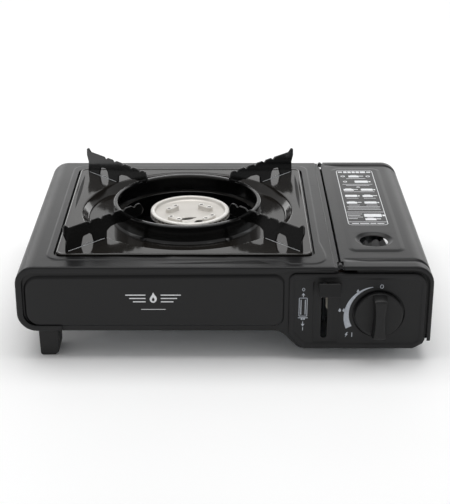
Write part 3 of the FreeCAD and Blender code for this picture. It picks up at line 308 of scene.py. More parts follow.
BURNER_METAL = surface("blasted_aluminium", blasted_casting, Metallic=0.62, Specular_IOR_Level=0.5)
GALVANISED = surface("galvanised_steel", spangle, Metallic=0.9)
PLATED = surface("plated_steel", tarnish(tone(186, 188, 190), tone(150, 151, 152)), Metallic=1.0)
ZINC = surface("die_cast_zinc", tarnish(tone(160, 161, 164), tone(132, 133, 136), 8, 0.4), Metallic=0.85)
BRASS = surface("brass", tarnish(tone(214, 178, 96), tone(170, 134, 70)), Metallic=1.0)
COPPER = surface("aged_copper_pipe", tarnish(tone(58, 42, 35), tone(32, 27, 25), 6, 0.55), Metallic=0.6)
CERAMIC = surface("ceramic", tarnish(tone(228, 224, 214), tone(214, 208, 196), 3, 0.2),
                  Specular_IOR_Level=0.6)
LEAD_SLEEVE = surface("lead_sleeve", tarnish(tone(196, 190, 178), tone(178, 172, 160), 4, 0.5))
POLISHED = surface("turned_aluminium", tarnish(tone(236, 234, 230), tone(222, 219, 214), 9, 0.3),
                   Metallic=0.55)
INK = surface("pale_ink", tarnish(tone(176, 181, 188), tone(164, 169, 177), 2, 0.5))
WHITE_INK = surface("white_ink", tarnish(tone(226, 227, 229), tone(212, 213, 216), 2, 0.5))
print("materials made:", len(bpy.data.materials))

# %% [markdown]
# ## Building sheet metal from strips
# A pressed sheet is a set of strips that share their edges: flats, bends and flanges. Each strip is a grid
# of points, flats with holes are filled as one plane, and the strips are merged. Solidify then gives the
# sheet its thickness inwards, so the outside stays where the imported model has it. All of it is worked out
# in millimetres.


# %% Skin: strips, flats and turned shapes
class Skin:
    """A surface gathered strip by strip."""

    def __init__(self):
        self.points, self.faces = [], []

    def grid(self, rows, closed=False):
        """Quads between rows of points; closed joins each row's last point to its first."""
        start, count = len(self.points), len(rows[0])
        for row in rows:
            self.points.extend(row)
        for r in range(len(rows) - 1):
            for c in range(count if closed else count - 1):
                a, b = start + r * count + c, start + r * count + (c + 1) % count
                self.faces.append((a, b, b + count, a + count))
        return self

    def flat(self, *loops):
        """One plane inside the first loop, with the other loops as holes."""
        start = len(self.points)
        for loop in loops:
            self.points.extend(loop)
        fill = tessellate_polygon([[Vector(point) for point in loop] for loop in loops])
        self.faces.extend(tuple(start + i for i in triangle) for triangle in fill)
        return self


def circle(middle, radius, height, count=96, start=0.0):
    """A loop round the Z axis."""
    turns = [math.radians(start) + 2 * math.pi * i / count for i in range(count)]
    return [(middle[0] + radius * math.cos(t), middle[1] + radius * math.sin(t), height) for t in turns]


def turned(profile, middle, count=96):
    """Rows of a profile of (radius, height) turned round the Z axis."""
    return [circle(middle, radius, height, count) for radius, height in profile]


def rounded(middle, half, radius, height, steps=8, along=6):
    """A rectangle with round corners, anticlockwise from the right-hand side."""
    loop = []
    signs = ((1, 1), (-1, 1), (-1, -1), (1, -1))
    for quarter, (sx, sy) in enumerate(signs):
        centre = (middle[0] + sx * (half[0] - radius), middle[1] + sy * (half[1] - radius))
        for step in range(steps + 1):
            turn = math.radians(90 * quarter + 90 * step / steps)
            loop.append((centre[0] + radius * math.cos(turn), centre[1] + radius * math.sin(turn), height))
        nx, ny = signs[(quarter + 1) % 4]
        turn = math.radians(90 * quarter + 90)
        end = (middle[0] + nx * (half[0] - radius) + radius * math.cos(turn),
               middle[1] + ny * (half[1] - radius) + radius * math.sin(turn))
        first = loop[-1]
        for step in range(1, along):
            share = step / along
            loop.append((first[0] + (end[0] - first[0]) * share, first[1] + (end[1] - first[1]) * share,
                         height))
    return loop


def soft_polygon(corners, inset=0.0, steps=6):
    """A flat outline moved inwards, with an arc at each corner that names a radius. Corners go clockwise."""
    count = len(corners)
    lines = []
    for i, corner in enumerate(corners):
        nearby = corners[(i + 1) % count]
        along = Vector((nearby[0] - corner[0], nearby[1] - corner[1])).normalized()
        inwards = Vector((along.y, -along.x))
        lines.append((Vector(corner[:2]) + inwards * inset, along))
    loop = []
    for i, corner in enumerate(corners):
        (p, d), (q, e) = lines[i - 1], lines[i]
        cross = d.x * e.y - d.y * e.x
        meet = p + d * (((q - p).x * e.y - (q - p).y * e.x) / cross)
        bend_in = cross > 0
        radius = max(0.05, (corner[2] if len(corner) > 2 else 0.4) + (inset if bend_in else -inset))
        half = (math.pi - d.angle(e)) / 2
        reach = radius / math.tan(half)
        start, end = meet - d * reach, meet + e * reach
        middle = meet + (e - d).normalized() * (radius / math.sin(half))
        first, last = start - middle, end - middle
        sweep = first.angle_signed(last)
        turn = math.atan2(first.y, first.x)
        for step in range(steps + 1):
            angle = turn - sweep * step / steps
            loop.append((middle.x + radius * math.cos(angle), middle.y + radius * math.sin(angle)))
    return loop


# %% From a skin to a finished piece
def welded(mesh, gap=2e-6):
    """A working copy of a mesh with its doubled points joined."""
    work = bmesh.new()
    work.from_mesh(mesh)
    bmesh.ops.remove_doubles(work, verts=work.verts, dist=gap)
    return work


def put_back(work, mesh):
    work.to_mesh(mesh)
    work.free()


def ready(thing, material, body, nodes, slot, bevel, thickness, angle=32):
    """Edges, thickness, shading, the body it rides on and the nodes it hides, the same way for every piece."""
    thing.data.materials.clear()
    thing.data.materials.append(material)
    for face in thing.data.polygons:
        face.use_smooth = True
        face.material_index = 0
    thing.data.set_sharp_from_angle(angle=math.radians(angle))
    if thickness:
        wall = thing.modifiers.new("wall", "SOLIDIFY")
        wall.thickness, wall.offset, wall.use_even_offset = thickness / 1000, -1, True
    if bevel:
        edge = thing.modifiers.new("edge", "BEVEL")
        edge.width, edge.segments, edge.limit_method = bevel / 1000, 2, "ANGLE"
        edge.angle_limit, edge.harden_normals, edge.miter_outer = math.radians(angle), True, "MITER_ARC"
    weigh = thing.modifiers.new("even_shading", "WEIGHTED_NORMAL")
    weigh.keep_sharp, weigh.weight = True, 80
    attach(thing, body)
    if nodes:
        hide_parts(*nodes)
    return thing


def piece(name, skin, material, body="root", nodes=(), slot=None, bevel=0.0, thickness=0.0, outwards=None,
          angle=32):
    """Merge a skin's strips into one object, facing outwards."""
    mesh = bpy.data.meshes.new(name)
    mesh.from_pydata([[value / 1000 for value in point] for point in skin.points], [], skin.faces)
    work = welded(mesh)
    bmesh.ops.dissolve_degenerate(work, edges=work.edges, dist=1e-7)
    bmesh.ops.recalc_face_normals(work, faces=work.faces)
    if outwards:
        facing = sum(face.normal.dot(Vector(outwards)) * face.calc_area() for face in work.faces)
        if facing < 0:
            bmesh.ops.reverse_faces(work, faces=work.faces)
    put_back(work, mesh)
    return ready(placed(name, mesh), material, body, nodes, slot, bevel, thickness, angle)


def corners(node):
    """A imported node's lowest and highest corner in millimetres."""
    low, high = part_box(node)
    return [value * 1000 for value in low], [value * 1000 for value in high]


def bend(radius, steps=5):
    """A quarter bend as (how far along, how far in) pairs, from the flat round to the flange."""
    turns = [math.pi / 2 * step / steps for step in range(steps + 1)]
    return [(radius - radius * math.sin(t), radius - radius * math.cos(t)) for t in turns]


def eased(value, low, high):
    """0 below low, 1 above high and smooth between."""
    share = min(1.0, max(0.0, (value - low) / (high - low)))
    return share * share * (3 - 2 * share)


# %% [markdown]
# ## The case's top shell
# One steel sheet makes the top and the left-hand side: it curls round the left edge, is flanged down at the
# front and rear, rises in a low plateau round the tray, and drops to a seat for the tray. The path of its
# section is swept for the curl and flanges, and nested rounded rectangles make the plateau, so that the
# metal flows round each corner.

# %% Places on the case
(LEFT, FRONT, UNDER), (SEAM, REAR, PLATEAU_TOP) = corners("top_shell")
TOP = PLATEAU_TOP - 0.6
SKIN, CORNER, RIM, BEND = 0.8, 16, 5.2, 1.6
(tray_left, tray_front, _), (tray_right, tray_rear, TRAY_TOP) = corners("drip_tray")
TRAY = ((tray_left + tray_right) / 2, (tray_front + tray_rear) / 2)
TRAY_HALF = ((tray_right - tray_left) / 2, (tray_rear - tray_front) / 2)
print("tray middle", [round(v, 2) for v in TRAY], "half", [round(v, 2) for v in TRAY_HALF])


def arc(middle, radius, start, end, steps=10):
    """Samples of a section: x, z and the outward direction."""
    turns = [math.radians(start + (end - start) * step / steps) for step in range(steps + 1)]
    return [(middle[0] + radius * math.cos(t), middle[1] + radius * math.sin(t), math.cos(t), math.sin(t))
            for t in turns]


def inwards(sample, y, inset):
    """A point of the swept section, moved inwards through the sheet."""
    x, z, across, up = sample
    return (x - across * inset, y, z - up * inset)


# %% Top shell
curl = arc((LEFT + CORNER, TOP - CORNER), CORNER, 90, 180) + arc((LEFT + CORNER, UNDER + CORNER), CORNER,
                                                                 180, 270)
curl.append((LEFT + 36.4, UNDER, 0, -1))
land = [(SEAM - 4.8, TOP, 0, 1), (SEAM - 4.0, TOP - 0.6, 0, 1), (SEAM - 1.8, TOP - 0.6, 0, 1)]
hem = [(SEAM - 1.8, TOP - 0.6, 0, 1)] + arc((SEAM - 0.8, TOP - 1.4), 0.8, 90, 0, 4) + [(SEAM, TOP - 7, 1, 0)]
front_edge = [(FRONT + along, inset) for along, inset in bend(BEND)] + [(FRONT, RIM)]
rear_edge = [(REAR - along, inset) for along, inset in bend(BEND)] + [(REAR, RIM)]
notch = 12
y_stops = [FRONT + BEND, FRONT + notch, FRONT + 60, 0, REAR - 60, REAR - notch, REAR - BEND]
x_stops = [curl[0][0] + (land[0][0] - curl[0][0]) * share for share in (0, 0.25, 0.5, 0.75, 0.832, 0.845, 1)]
PANEL_START, SHORT_RIM = 48, 3.2


def plateau(grow, height):
    """The low step round the tray, a little wider at its front right corner."""
    middle, half = (LEFT + 136.8, FRONT + 128.2), (114 + grow, 114.7 + grow)
    loop = rounded(middle, half, 13 + grow, height, 10, 24)
    return [(x + 3.2 * eased(-y, -FRONT - 50, -FRONT - 34) * (x > 20),
             y - 8 * eased(x, 41, 49) * (y < FRONT + 40), z) for x, y, z in loop]


def flange_depth(sample, y, inset):
    """The front flange is shorter over the control panel."""
    return SHORT_RIM if inset == RIM and y < 0 and sample[0] > PANEL_START else inset


shell = Skin()
rings = [plateau(0, TOP), plateau(-0.6, TOP + 0.12), plateau(-1.4, TOP + 0.48), plateau(-2.2, TOP + 0.6)]
for gap, height in ((2.6, 0.6), (2.2, 0.5), (2.0, 0.1), (2.0, -2), (1.6, -2.5), (-2.0, -2.5)):
    rings.append(rounded(TRAY, (TRAY_HALF[0] + gap, TRAY_HALF[1] + gap), 5.5 + gap, TOP + height, 10, 24))
shell.grid(rings, closed=True)
flat_edge = [(x, y_stops[0], TOP) for x in x_stops] + [(x_stops[-1], y, TOP) for y in y_stops[1:]]
flat_edge += [(x, y_stops[-1], TOP) for x in x_stops[-2::-1]] + [(x_stops[0], y, TOP)
                                                                 for y in y_stops[-2:0:-1]]
shell.flat(flat_edge, rings[0])
shell.grid([[inwards(sample, y, 0) for y in y_stops] for sample in curl])
shell.grid([[inwards(sample, y, 0) for y in y_stops] for sample in land])
shell.grid([[inwards(sample, y, 0) for y in y_stops[1:-1]] for sample in hem])
path = land[::-1] + [(x, TOP, 0, 1) for x in x_stops[-2:0:-1]] + curl
for edge in (front_edge, rear_edge):
    shell.grid([[inwards(sample, y, flange_depth(sample, y, inset)) for sample in path] for y, inset in edge])
TOP_SHELL = piece("top_shell_sheet", shell, SHELL_PAINT, "root", ["top_shell"], "shell_paint",
                  thickness=SKIN, outwards=(0, 0, 1))
print("shell faces", len(TOP_SHELL.data.polygons))

# %% [markdown]
# ## The lid over the canister
# The lid is pressed like the shell: it turns down round the right-hand edge, has a raised field with a
# dished sight hole, and a groove near each end that stiffens it. The field and the dish are nested loops,
# and the grooves are part of the profile that is swept across, so that they run over the edge and down the
# side.

# %% Lid
(_, _, lid_low), (RIGHT, _, FIELD_TOP) = corners("lid")
LID_LEFT, LID_TOP = SEAM + 1.2, FIELD_TOP - 0.8
SIGHT = (126.2, FRONT + 55)
lid_curl = arc((RIGHT - CORNER, LID_TOP - CORNER), CORNER, 90, 0) + [(RIGHT, 50, 1, 0),
                                                                     (RIGHT, lid_low, 1, 0)]
lid_hem = [(LID_LEFT + 2.2, LID_TOP, 0, 1), (LID_LEFT + 1, LID_TOP, 0, 1)]
lid_hem += arc((LID_LEFT + 1, LID_TOP - 1), 1, 90, 180, 4) + [(LID_LEFT, LID_TOP - 3, -1, 0)]
patch_left, patch_front, patch_rear = LID_LEFT + 5, FRONT + 20, REAR - 14.5
lid_y = [patch_front, FRONT + 60, 0, REAR - 60, patch_rear]
lid_x = [patch_left + (lid_curl[0][0] - patch_left) * share for share in (0, 0.3, 0.6, 1)]
groove = [(17.3, 0), (16.8, 0.2), (15.6, 1.25), (13.8, 1.5), (12.4, 1.2), (11.0, 0.3), (10.2, 0), (7, 0)]
rear_groove = [(13.8, 0), (13.3, 0.2), (11.8, 1.3), (10.2, 1.5), (8.8, 1.2), (7.2, 0.3), (6.4, 0)]


def pressed(sample, inset, groove_depth):
    """The groove fades out before the lid's left-hand part."""
    return inset + groove_depth * eased(sample[0], 99.5, 103)


lid = Skin()
lid_edge = [(x, lid_y[0], LID_TOP) for x in lid_x] + [(lid_x[-1], y, LID_TOP) for y in lid_y[1:]]
lid_edge += [(x, lid_y[-1], LID_TOP) for x in lid_x[-2::-1]] + [(lid_x[0], y, LID_TOP)
                                                                for y in lid_y[-2:0:-1]]
field_middle, field_half = (126.5, FRONT + 131.3), (23.5, 101.7)
field = [rounded(field_middle, (field_half[0] - inset, field_half[1] - inset), 8 - inset, LID_TOP + rise, 8,
                 12)
         for inset, rise in ((-0.6, 0), (0.3, 0.1), (2.6, 0.68), (4.0, 0.8))]
lid.grid(field, closed=True)
lid.flat(lid_edge, field[0])
dish = turned([(16.3, FIELD_TOP), (15.6, FIELD_TOP - 0.15), (15, FIELD_TOP - 0.6), (13.6, FIELD_TOP - 1.55),
               (12.6, FIELD_TOP - 1.7), (12, FIELD_TOP - 1.85), (11.8, FIELD_TOP - 2.3)], SIGHT, 64)
lid.grid(dish, closed=True)
lid.flat(field[-1], dish[0])
right_path = [(x, LID_TOP, 0, 1) for x in lid_x] + lid_curl[1:]
ends = [(FRONT + y, depth, 0) for y, depth in [(20, 0)] + groove]
ends += [(y, 0, min(inset, SHORT_RIM)) for y, inset in front_edge]
rear_ends = [(REAR - y, depth, 0) for y, depth in [(14.5, 0)] + rear_groove]
rear_ends += [(y, 0, inset) for y, inset in rear_edge]
short_path = [(LID_LEFT + 2.2, LID_TOP, 0, 1)] + right_path
for profile in (ends, rear_ends):
    lid.grid([[inwards(sample, y, pressed(sample, inset, depth)) for sample in short_path]
              for y, depth, inset in profile])
lid.grid([[inwards(sample, y, 0) for y in lid_y] for sample in lid_curl])
front_hem = [FRONT + y for y, _ in [(20, 0)] + groove[:-1]]
rear_hem = [REAR - y for y, _ in [(14.5, 0)] + rear_groove]
for stops in (lid_y, front_hem, rear_hem):
    lid.grid([[inwards(sample, y, 0) for y in stops] for sample in lid_hem])
lid.grid([[(LID_LEFT + 2.2, y, LID_TOP) for y in lid_y], [(patch_left, y, LID_TOP) for y in lid_y]])
LID = piece("lid_sheet", lid, SHELL_PAINT, "lid", ["lid"], "shell_paint", thickness=SKIN, outwards=(0, 0, 1))
print("lid faces", len(LID.data.polygons))

# %% [markdown]
# The lid hangs on two small ears under its left-hand edge, each with a rolled knuckle round the hinge pin.
# The ears are cut from plate and bent, so each one is a flat plate with a ring at its end.

# %% Lid ears
HINGE = (SEAM + 0.4, TOP - 0.8)


def upright_ring(middle, radius, y, count=96):
    """A loop round an axis that runs front to back; middle is its (x, z)."""
    turns = [2 * math.pi * i / count for i in range(count)]
    return [(middle[0] + radius * math.cos(t), y, middle[1] + radius * math.sin(t)) for t in turns]


def ring_wall(skin, middle, outer, inner, start, end, count=24):
    """A tube along Y, closed at both ends."""
    profile = ((outer, start), (outer, end), (inner, end), (inner, start), (outer, start))
    skin.grid([upright_ring(middle, radius, y, count) for radius, y in profile], closed=True)


def slab(skin, x, y, z):
    """A closed box from three (low, high) pairs."""
    spots = [[(x[i], y[j], z[k]) for i, j in ((0, 0), (1, 0), (1, 1), (0, 1))] for k in (0, 1)]
    skin.grid(spots, closed=True)
    start = len(skin.points)
    skin.points.extend(spots[0] + spots[1])
    skin.faces += [(start + 3, start + 2, start + 1, start), (start + 4, start + 5, start + 6, start + 7)]


EAR_PLATE, KNUCKLE_RADIUS, PIN_BORE = 1.5, 1.9, 1.06
for end, y in (("front", FRONT + 2.4), ("rear", REAR - 3.9)):
    ear = Skin()
    ring_wall(ear, HINGE, KNUCKLE_RADIUS, PIN_BORE, y, y + EAR_PLATE)
    slab(ear, (LID_LEFT + 0.9, LID_LEFT + 9), (y, y + EAR_PLATE), (HINGE[1] - 1.6, LID_TOP - SKIN))
    piece("lid_ear_" + end, ear, SHELL_PAINT, "lid", (), "shell_paint", bevel=0.12)
print("hinge line x, z:", [round(v, 2) for v in HINGE])

# %% [markdown]
# ## The drip tray
# The tray lifts out for washing. It is pressed from one sheet: a rolled rim round the outside, a flat with
# a slim crease at each side, drawn as a thin dark strip of painted shade, and a round dish whose sloping
# wall leads down to the burner's collar.
# Square loops turn into round ones on the flat, where the change doesn't show.

# %% Drip tray
DISH_EDGE, DISH_FLOOR_RADIUS, DISH_FLOOR = 93.2, 87.6, TRAY_TOP - 7.3
collar_low, collar_high = corners("collar_ring")
COLLAR_FOOT = (collar_high[0] - collar_low[0]) / 2
COLLAR_TOP, COLLAR_OUTER, COLLAR_INNER = collar_high[2], COLLAR_FOOT - 1.8, COLLAR_FOOT - 5.7
tray = Skin()
rim = []
for inset, rise in ((0.3, -4), (0, -3.4), (0, -0.5), (0.3, 0.15), (0.9, 0.5), (1.7, 0.5), (2.3, 0.2), (2.9, 0)):
    half = (TRAY_HALF[0] - inset, TRAY_HALF[1] - inset)
    rim.append(rounded(TRAY, half, 5.6 - inset, TRAY_TOP + rise, 10, 12))
tray.grid(rim, closed=True)
dish_rows = turned([(DISH_EDGE + 1.6, TRAY_TOP), (DISH_EDGE + 0.7, TRAY_TOP - 0.12),
                    (DISH_EDGE - 0.1, TRAY_TOP - 0.6),
                    (DISH_EDGE - 0.7, TRAY_TOP - 1.4), (DISH_FLOOR_RADIUS + 1.2, DISH_FLOOR + 1.3),
                    (DISH_FLOOR_RADIUS + 0.3, DISH_FLOOR + 0.4), (DISH_FLOOR_RADIUS - 1, DISH_FLOOR),
                    (COLLAR_INNER + 3, DISH_FLOOR), (COLLAR_INNER, DISH_FLOOR)], TRAY, 128)
tray.grid(dish_rows, closed=True)
tray.flat(rim[-1], dish_rows[0])
piece("drip_tray_sheet", tray, ENAMEL, "tray", ["drip_tray"], "enamel", thickness=0.7, outwards=(0, 0, 1))
# Painted shade: each crease is a flat dark strip on the tray, standing in for the shade inside a slim groove.
for side, name in ((-1, "left"), (1, "right")):
    crease_shade = Skin()
    place = (TRAY[0] + side * (TRAY_HALF[0] - 5.1), TRAY[1] + 43)
    turns = [math.pi * step / 24 for step in range(48)]
    crease_shade.flat([(place[0] + 1.5 * math.sin(t) * abs(math.sin(t)), place[1] + 44 * math.cos(t),
                  TRAY_TOP + 0.03)
                 for t in turns])
    piece("tray_crease_" + name, crease_shade, SEAL_RUBBER_AND_SHADE, "tray", (), "enamel", thickness=0.05,
          outwards=(0, 0, 1))

# %% [markdown]
# ## The collar
# A ring of enamelled steel stands in the dish round the burner and carries the supports. Its section never
# changes: a foot, an upright wall and a rolled top, so one profile is turned round the burner. Two crimped
# tabs hold it.


# %% Collar
collar = Skin()
wall = [(COLLAR_FOOT, DISH_FLOOR), (COLLAR_FOOT, DISH_FLOOR + 0.5), (COLLAR_FOOT - 0.3, DISH_FLOOR + 0.8),
        (COLLAR_OUTER + 0.25, DISH_FLOOR + 2.1), (COLLAR_OUTER, DISH_FLOOR + 2.6),
        (COLLAR_OUTER, COLLAR_TOP - 1.9)]
roll = [math.radians(180 * step / 12) for step in range(1, 12)]
wall += [(COLLAR_OUTER - 1.95 + math.copysign(1.95 * abs(math.cos(t)) ** 0.55, math.cos(t)),
          COLLAR_TOP - 1.9 + 1.9 * math.sin(t) ** 0.6) for t in roll]
wall += [(COLLAR_INNER, COLLAR_TOP - 1.9), (COLLAR_INNER, COLLAR_TOP - 3.4),
         (COLLAR_INNER + 0.8, COLLAR_TOP - 3.4),
         (COLLAR_INNER + 0.8, COLLAR_TOP - 1.6), (COLLAR_INNER + 1.4, COLLAR_TOP - 0.9),
         (COLLAR_OUTER - 1.4, COLLAR_TOP - 0.9), (COLLAR_OUTER - 0.8, COLLAR_TOP - 1.8),
         (COLLAR_OUTER - 0.8, DISH_FLOOR)]
collar.grid(turned(wall + wall[:1], TRAY, 144), closed=True)
piece("collar_wall", collar, SUPPORT_ENAMEL, "tray", ["collar_ring"], "enamel", bevel=0)
for side in (-1, 1):
    tab = Skin()
    turn = math.radians(270 + side * 32)
    out, beside = (math.cos(turn), math.sin(turn)), (-math.sin(turn), math.cos(turn))
    rows = []
    for reach, half, rise in ((COLLAR_OUTER, 1.6, 2.4), (COLLAR_OUTER + 1.1, 1.6, 2.2),
                              (COLLAR_FOOT + 0.6, 1.5, 1.4),
                              (COLLAR_FOOT + 1.9, 1.2, 0.4), (COLLAR_FOOT + 2.1, 1.1, 0)):
        loop = [(-half, rise), (half, rise), (half, 0), (-half, 0)]
        rows.append([(TRAY[0] + out[0] * reach + beside[0] * b, TRAY[1] + out[1] * reach + beside[1] * b,
                      DISH_FLOOR + z + 0.02) for b, z in loop])
    tab.grid(rows, closed=True)
    tab.faces += [(3, 2, 1, 0), (16, 17, 18, 19)]
    piece("collar_tab_%s" % ("left" if side < 0 else "right"), tab, SUPPORT_ENAMEL, "tray", (), "enamel",
          bevel=0.3)

# %% [markdown]
# ## The pan supports
# Four legs are stamped from thick plate, with a wavy top that grips a pan, an ear at the outer end and
# windows that let the flame's heat pass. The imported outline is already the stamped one, so a copy is merged
# and its loose triangles are joined into whole faces. A rounded edge then catches the light as the enamel
# does on the real part.


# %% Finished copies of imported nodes
BODY_OF = {node: body for body, nodes in frame["record"]["behaviour"]["bodies"].items() for node in nodes}


def finished(node, material, bevel, slot, angle=32):
    """A node's mesh, merged and given rounded edges and a real finish."""
    mesh = frame["nodes"][node].data.copy()
    work = welded(mesh)
    bmesh.ops.dissolve_limit(work, angle_limit=math.radians(0.6), verts=work.verts, edges=work.edges)
    put_back(work, mesh)
    for layer in list(mesh.uv_layers):
        mesh.uv_layers.remove(layer)
    thing = placed(node + "_finished", mesh)
    return ready(thing, material, BODY_OF.get(node, "root"), [node], slot, bevel, 0, angle)


for node in ("front_right", "rear_right", "rear_left", "front_left"):
    finished("pan_support_" + node, SUPPORT_ENAMEL, 0.5, slot="support_enamel", angle=20)
print("supports reach", round(corners("pan_support_front_left")[1][2], 2), "mm high")


# %% Weld beads along the supports' feet, left pale so they paint the bright highlight where each leg meets the tray
def bead(skin, start, end, beside, low, size=0.34, steps=6):
    """A quarter-round strip in the corner between a standing plate and the tray."""
    rows = []
    for place in (start, end):
        loop = [(place[0], place[1], low)]
        for step in range(steps + 1):
            t = math.radians(90 * step / steps)
            loop.append((place[0] + beside[0] * size * math.cos(t), place[1] + beside[1] * size * math.cos(t),
                         low + size * math.sin(t)))
        rows.append(loop)
    skin.grid(rows, closed=True)
    for row in rows:
        skin.flat(row)


# Painted highlight: the pale plated colour gives the bright line along each foot of the enamelled legs.
for label, turn in (("front_right", -45), ("rear_right", 45), ("rear_left", 135), ("front_left", -135)):
    highlight_beads = Skin()
    out = (math.cos(math.radians(turn)), math.sin(math.radians(turn)))
    for side in (-1, 1):
        beside = (-out[1] * side, out[0] * side)
        ends = [(TRAY[0] + out[0] * reach + beside[0] * 0.8, TRAY[1] + out[1] * reach + beside[1] * 0.8)
                for reach in (97, 136)]
        bead(highlight_beads, ends[0], ends[1], beside, TRAY_TOP - 0.02)
    piece("support_beads_" + label, highlight_beads, PLATED, "tray", (), "support_enamel")

# %% [markdown]
# ## The burner
# The burner is an aluminium casting: a bowl with a cap pressed into it. The cap has a raised rim with flame
# slots under it, a sunken top, and four low bosses with two gas jets each. Slots repeat at an even angle,
# so Geometry Nodes cut them.

# %% Geometry Nodes helpers
def new_tree(name, *inputs):
    """A tree with geometry in and out and named numbers; returns its graph and a wire for each input."""
    tree = bpy.data.node_groups.new(name, "GeometryNodeTree")
    tree.interface.new_socket("Geometry", in_out="INPUT", socket_type="NodeSocketGeometry")
    for label, kind, value in inputs:
        socket = tree.interface.new_socket(label, in_out="INPUT", socket_type="NodeSocket" + kind)
        socket.default_value = value
    tree.interface.new_socket("Geometry", in_out="OUTPUT", socket_type="NodeSocketGeometry")
    graph = Graph(tree)
    start = tree.nodes.new("NodeGroupInput")
    return graph, [Wire(graph, socket) for socket in start.outputs[:-1]]


def close_tree(graph, geometry, material):
    """Every tree ends in Realize Instances and Set Material."""
    real = graph.node("GeometryNodeRealizeInstances", {}, {"Geometry": geometry})
    painted = graph.node("GeometryNodeSetMaterial", {}, {"Geometry": real, "Material": material})
    graph.node("NodeGroupOutput", {}, {0: painted})
    return graph.tree


def run_tree(tree, thing, sizes):
    """Run a tree on an object and keep only the plain mesh that it makes."""
    grow = thing.modifiers.new("grow", "NODES")
    grow.node_group = tree
    for socket in tree.interface.items_tree:
        if socket.in_out == "INPUT" and socket.name in sizes:
            grow[socket.identifier] = sizes[socket.name]
    evaluated = thing.evaluated_get(bpy.context.evaluated_depsgraph_get())
    result = bpy.data.meshes.new_from_object(evaluated)
    thing.modifiers.clear()
    bpy.data.objects.remove(thing)
    return result


def grown(name, tree, points, material, body, nodes, slot, **sizes):
    """A piece that a tree grows on points given in millimetres."""
    mesh = bpy.data.meshes.new(name + "_points")
    mesh.from_pydata([[value / 1000 for value in point] for point in points], [], [])
    result = run_tree(tree, placed(name + "_points", mesh), sizes)
    work = welded(result, 1e-6)
    bmesh.ops.recalc_face_normals(work, faces=work.faces)
    put_back(work, result)
    result.name = name
    print(name, "faces", len(result.polygons))
    return ready(placed(name, result), material, body, nodes, slot, 0, 0)


# %% Burner cap
cap_low, cap_high = corners("burner_cap")
BURNER = ((cap_low[0] + cap_high[0]) / 2, (cap_low[1] + cap_high[1]) / 2)
CAP_RADIUS, CAP_TOP, CAP_LOW = (cap_high[0] - cap_low[0]) / 2, cap_high[2], cap_low[2]


def slot_tree():
    """Cut even slots under the rim of the mesh it is given."""
    graph, (geometry, count, radius, width, low, height) = new_tree(
        "flame_slot_tree", ("Count", "Int", 40), ("Radius", "Float", 0.035), ("Width", "Float", 0.0012),
        ("Low", "Float", 0.078), ("Height", "Float", 0.003))
    centre = graph.node("ShaderNodeCombineXYZ", {}, {"X": BURNER[0] / 1000, "Y": BURNER[1] / 1000, "Z": low})
    ring = graph.node("GeometryNodeMeshCircle", {}, {"Vertices": count, "Radius": radius})
    ring = graph.node("GeometryNodeTransform", {}, {"Geometry": ring, "Translation": centre})
    size = graph.node("ShaderNodeCombineXYZ", {}, {"X": 0.006, "Y": width, "Z": height})
    box = graph.node("GeometryNodeMeshCube", {}, {"Size": size})
    index = graph.node("GeometryNodeInputIndex")
    turn = graph.node("ShaderNodeCombineXYZ", {}, {"Z": index * (2 * math.pi) / count})
    slots = graph.node("GeometryNodeInstanceOnPoints", {},
                       {"Points": ring, "Instance": box, "Rotation": turn})
    slots = graph.node("GeometryNodeRealizeInstances", {}, {"Geometry": slots})
    cut = graph.node("GeometryNodeMeshBoolean", {"operation": "DIFFERENCE", "solver": "EXACT"},
                     {"Mesh 1": geometry, "Mesh 2": slots})
    return close_tree(graph, cut, BURNER_METAL)


cap = Skin()
inner = CAP_RADIUS - 4.3
cap_profile = [(9, -5.1), (inner - 3, -3.5), (inner - 1, -3.1), (inner - 0.2, -2.4), (inner, -1.4),
               (inner + 0.2, -0.5),
               (inner + 0.8, -0.05), (inner + 1.4, 0), (CAP_RADIUS - 1.4, 0), (CAP_RADIUS - 0.5, -0.3),
               (CAP_RADIUS, -1.1), (CAP_RADIUS, CAP_LOW - CAP_TOP), (CAP_RADIUS - 2.2, CAP_LOW - CAP_TOP),
               (CAP_RADIUS - 2.2, -4.6), (inner - 3, -4.8), (9, -6.3)]
rows = turned([(radius, CAP_TOP + z) for radius, z in cap_profile], BURNER, 120)
cap.grid(rows, closed=True)
cap.flat(rows[0])
cap.flat(rows[-1])
blank = piece("burner_cap_blank", cap, BURNER_METAL, "root")


# %% Openings in the cap, cut before the flame slots
def lens(start, end, fat, count=16):
    """A pointed oval between two places, measured from the burner's middle."""
    a, b = Vector(start), Vector(end)
    across = Vector((a.y - b.y, b.x - a.x)).normalized() * fat
    shares = [i / count for i in range(count + 1)]
    one = [a.lerp(b, t) + across * math.sin(math.pi * t) for t in shares]
    return one + [a.lerp(b, t) - across * math.sin(math.pi * t) * 0.8 for t in shares[-2:0:-1]]


cutter = Skin()
for outline in (lens((-11, -15), (6.4, -6.8), 3.4), lens((4.6, -22.6), (13.6, -14.6), 4.4),
                lens((-9, -22.3), (2.8, -23.2), 1.5)):
    ends = [[(BURNER[0] + v.x, BURNER[1] + v.y, CAP_TOP + z) for v in outline] for z in (-9, 1)]
    cutter.grid(ends, closed=True)
    cutter.flat(ends[0])
    cutter.flat(ends[1])
cutter = piece("burner_cutter", cutter, BURNER_METAL)


blank.modifiers.clear()
opening = blank.modifiers.new("openings", "BOOLEAN")
opening.object, opening.operation, opening.solver = cutter, "DIFFERENCE", "EXACT"
cut_cap = run_tree(slot_tree(), blank, {"Count": 44, "Radius": (CAP_RADIUS + 0.2) / 1000, "Width": 0.0033,
                                        "Low": (CAP_LOW + 2.1) / 1000, "Height": 0.0026})
bpy.data.objects.remove(cutter)
ready(placed("burner_cap_cast", cut_cap), BURNER_METAL, "root", ["burner_cap"], "burner_metal", 0, 0)
print("cap faces after the cuts", len(cut_cap.polygons))


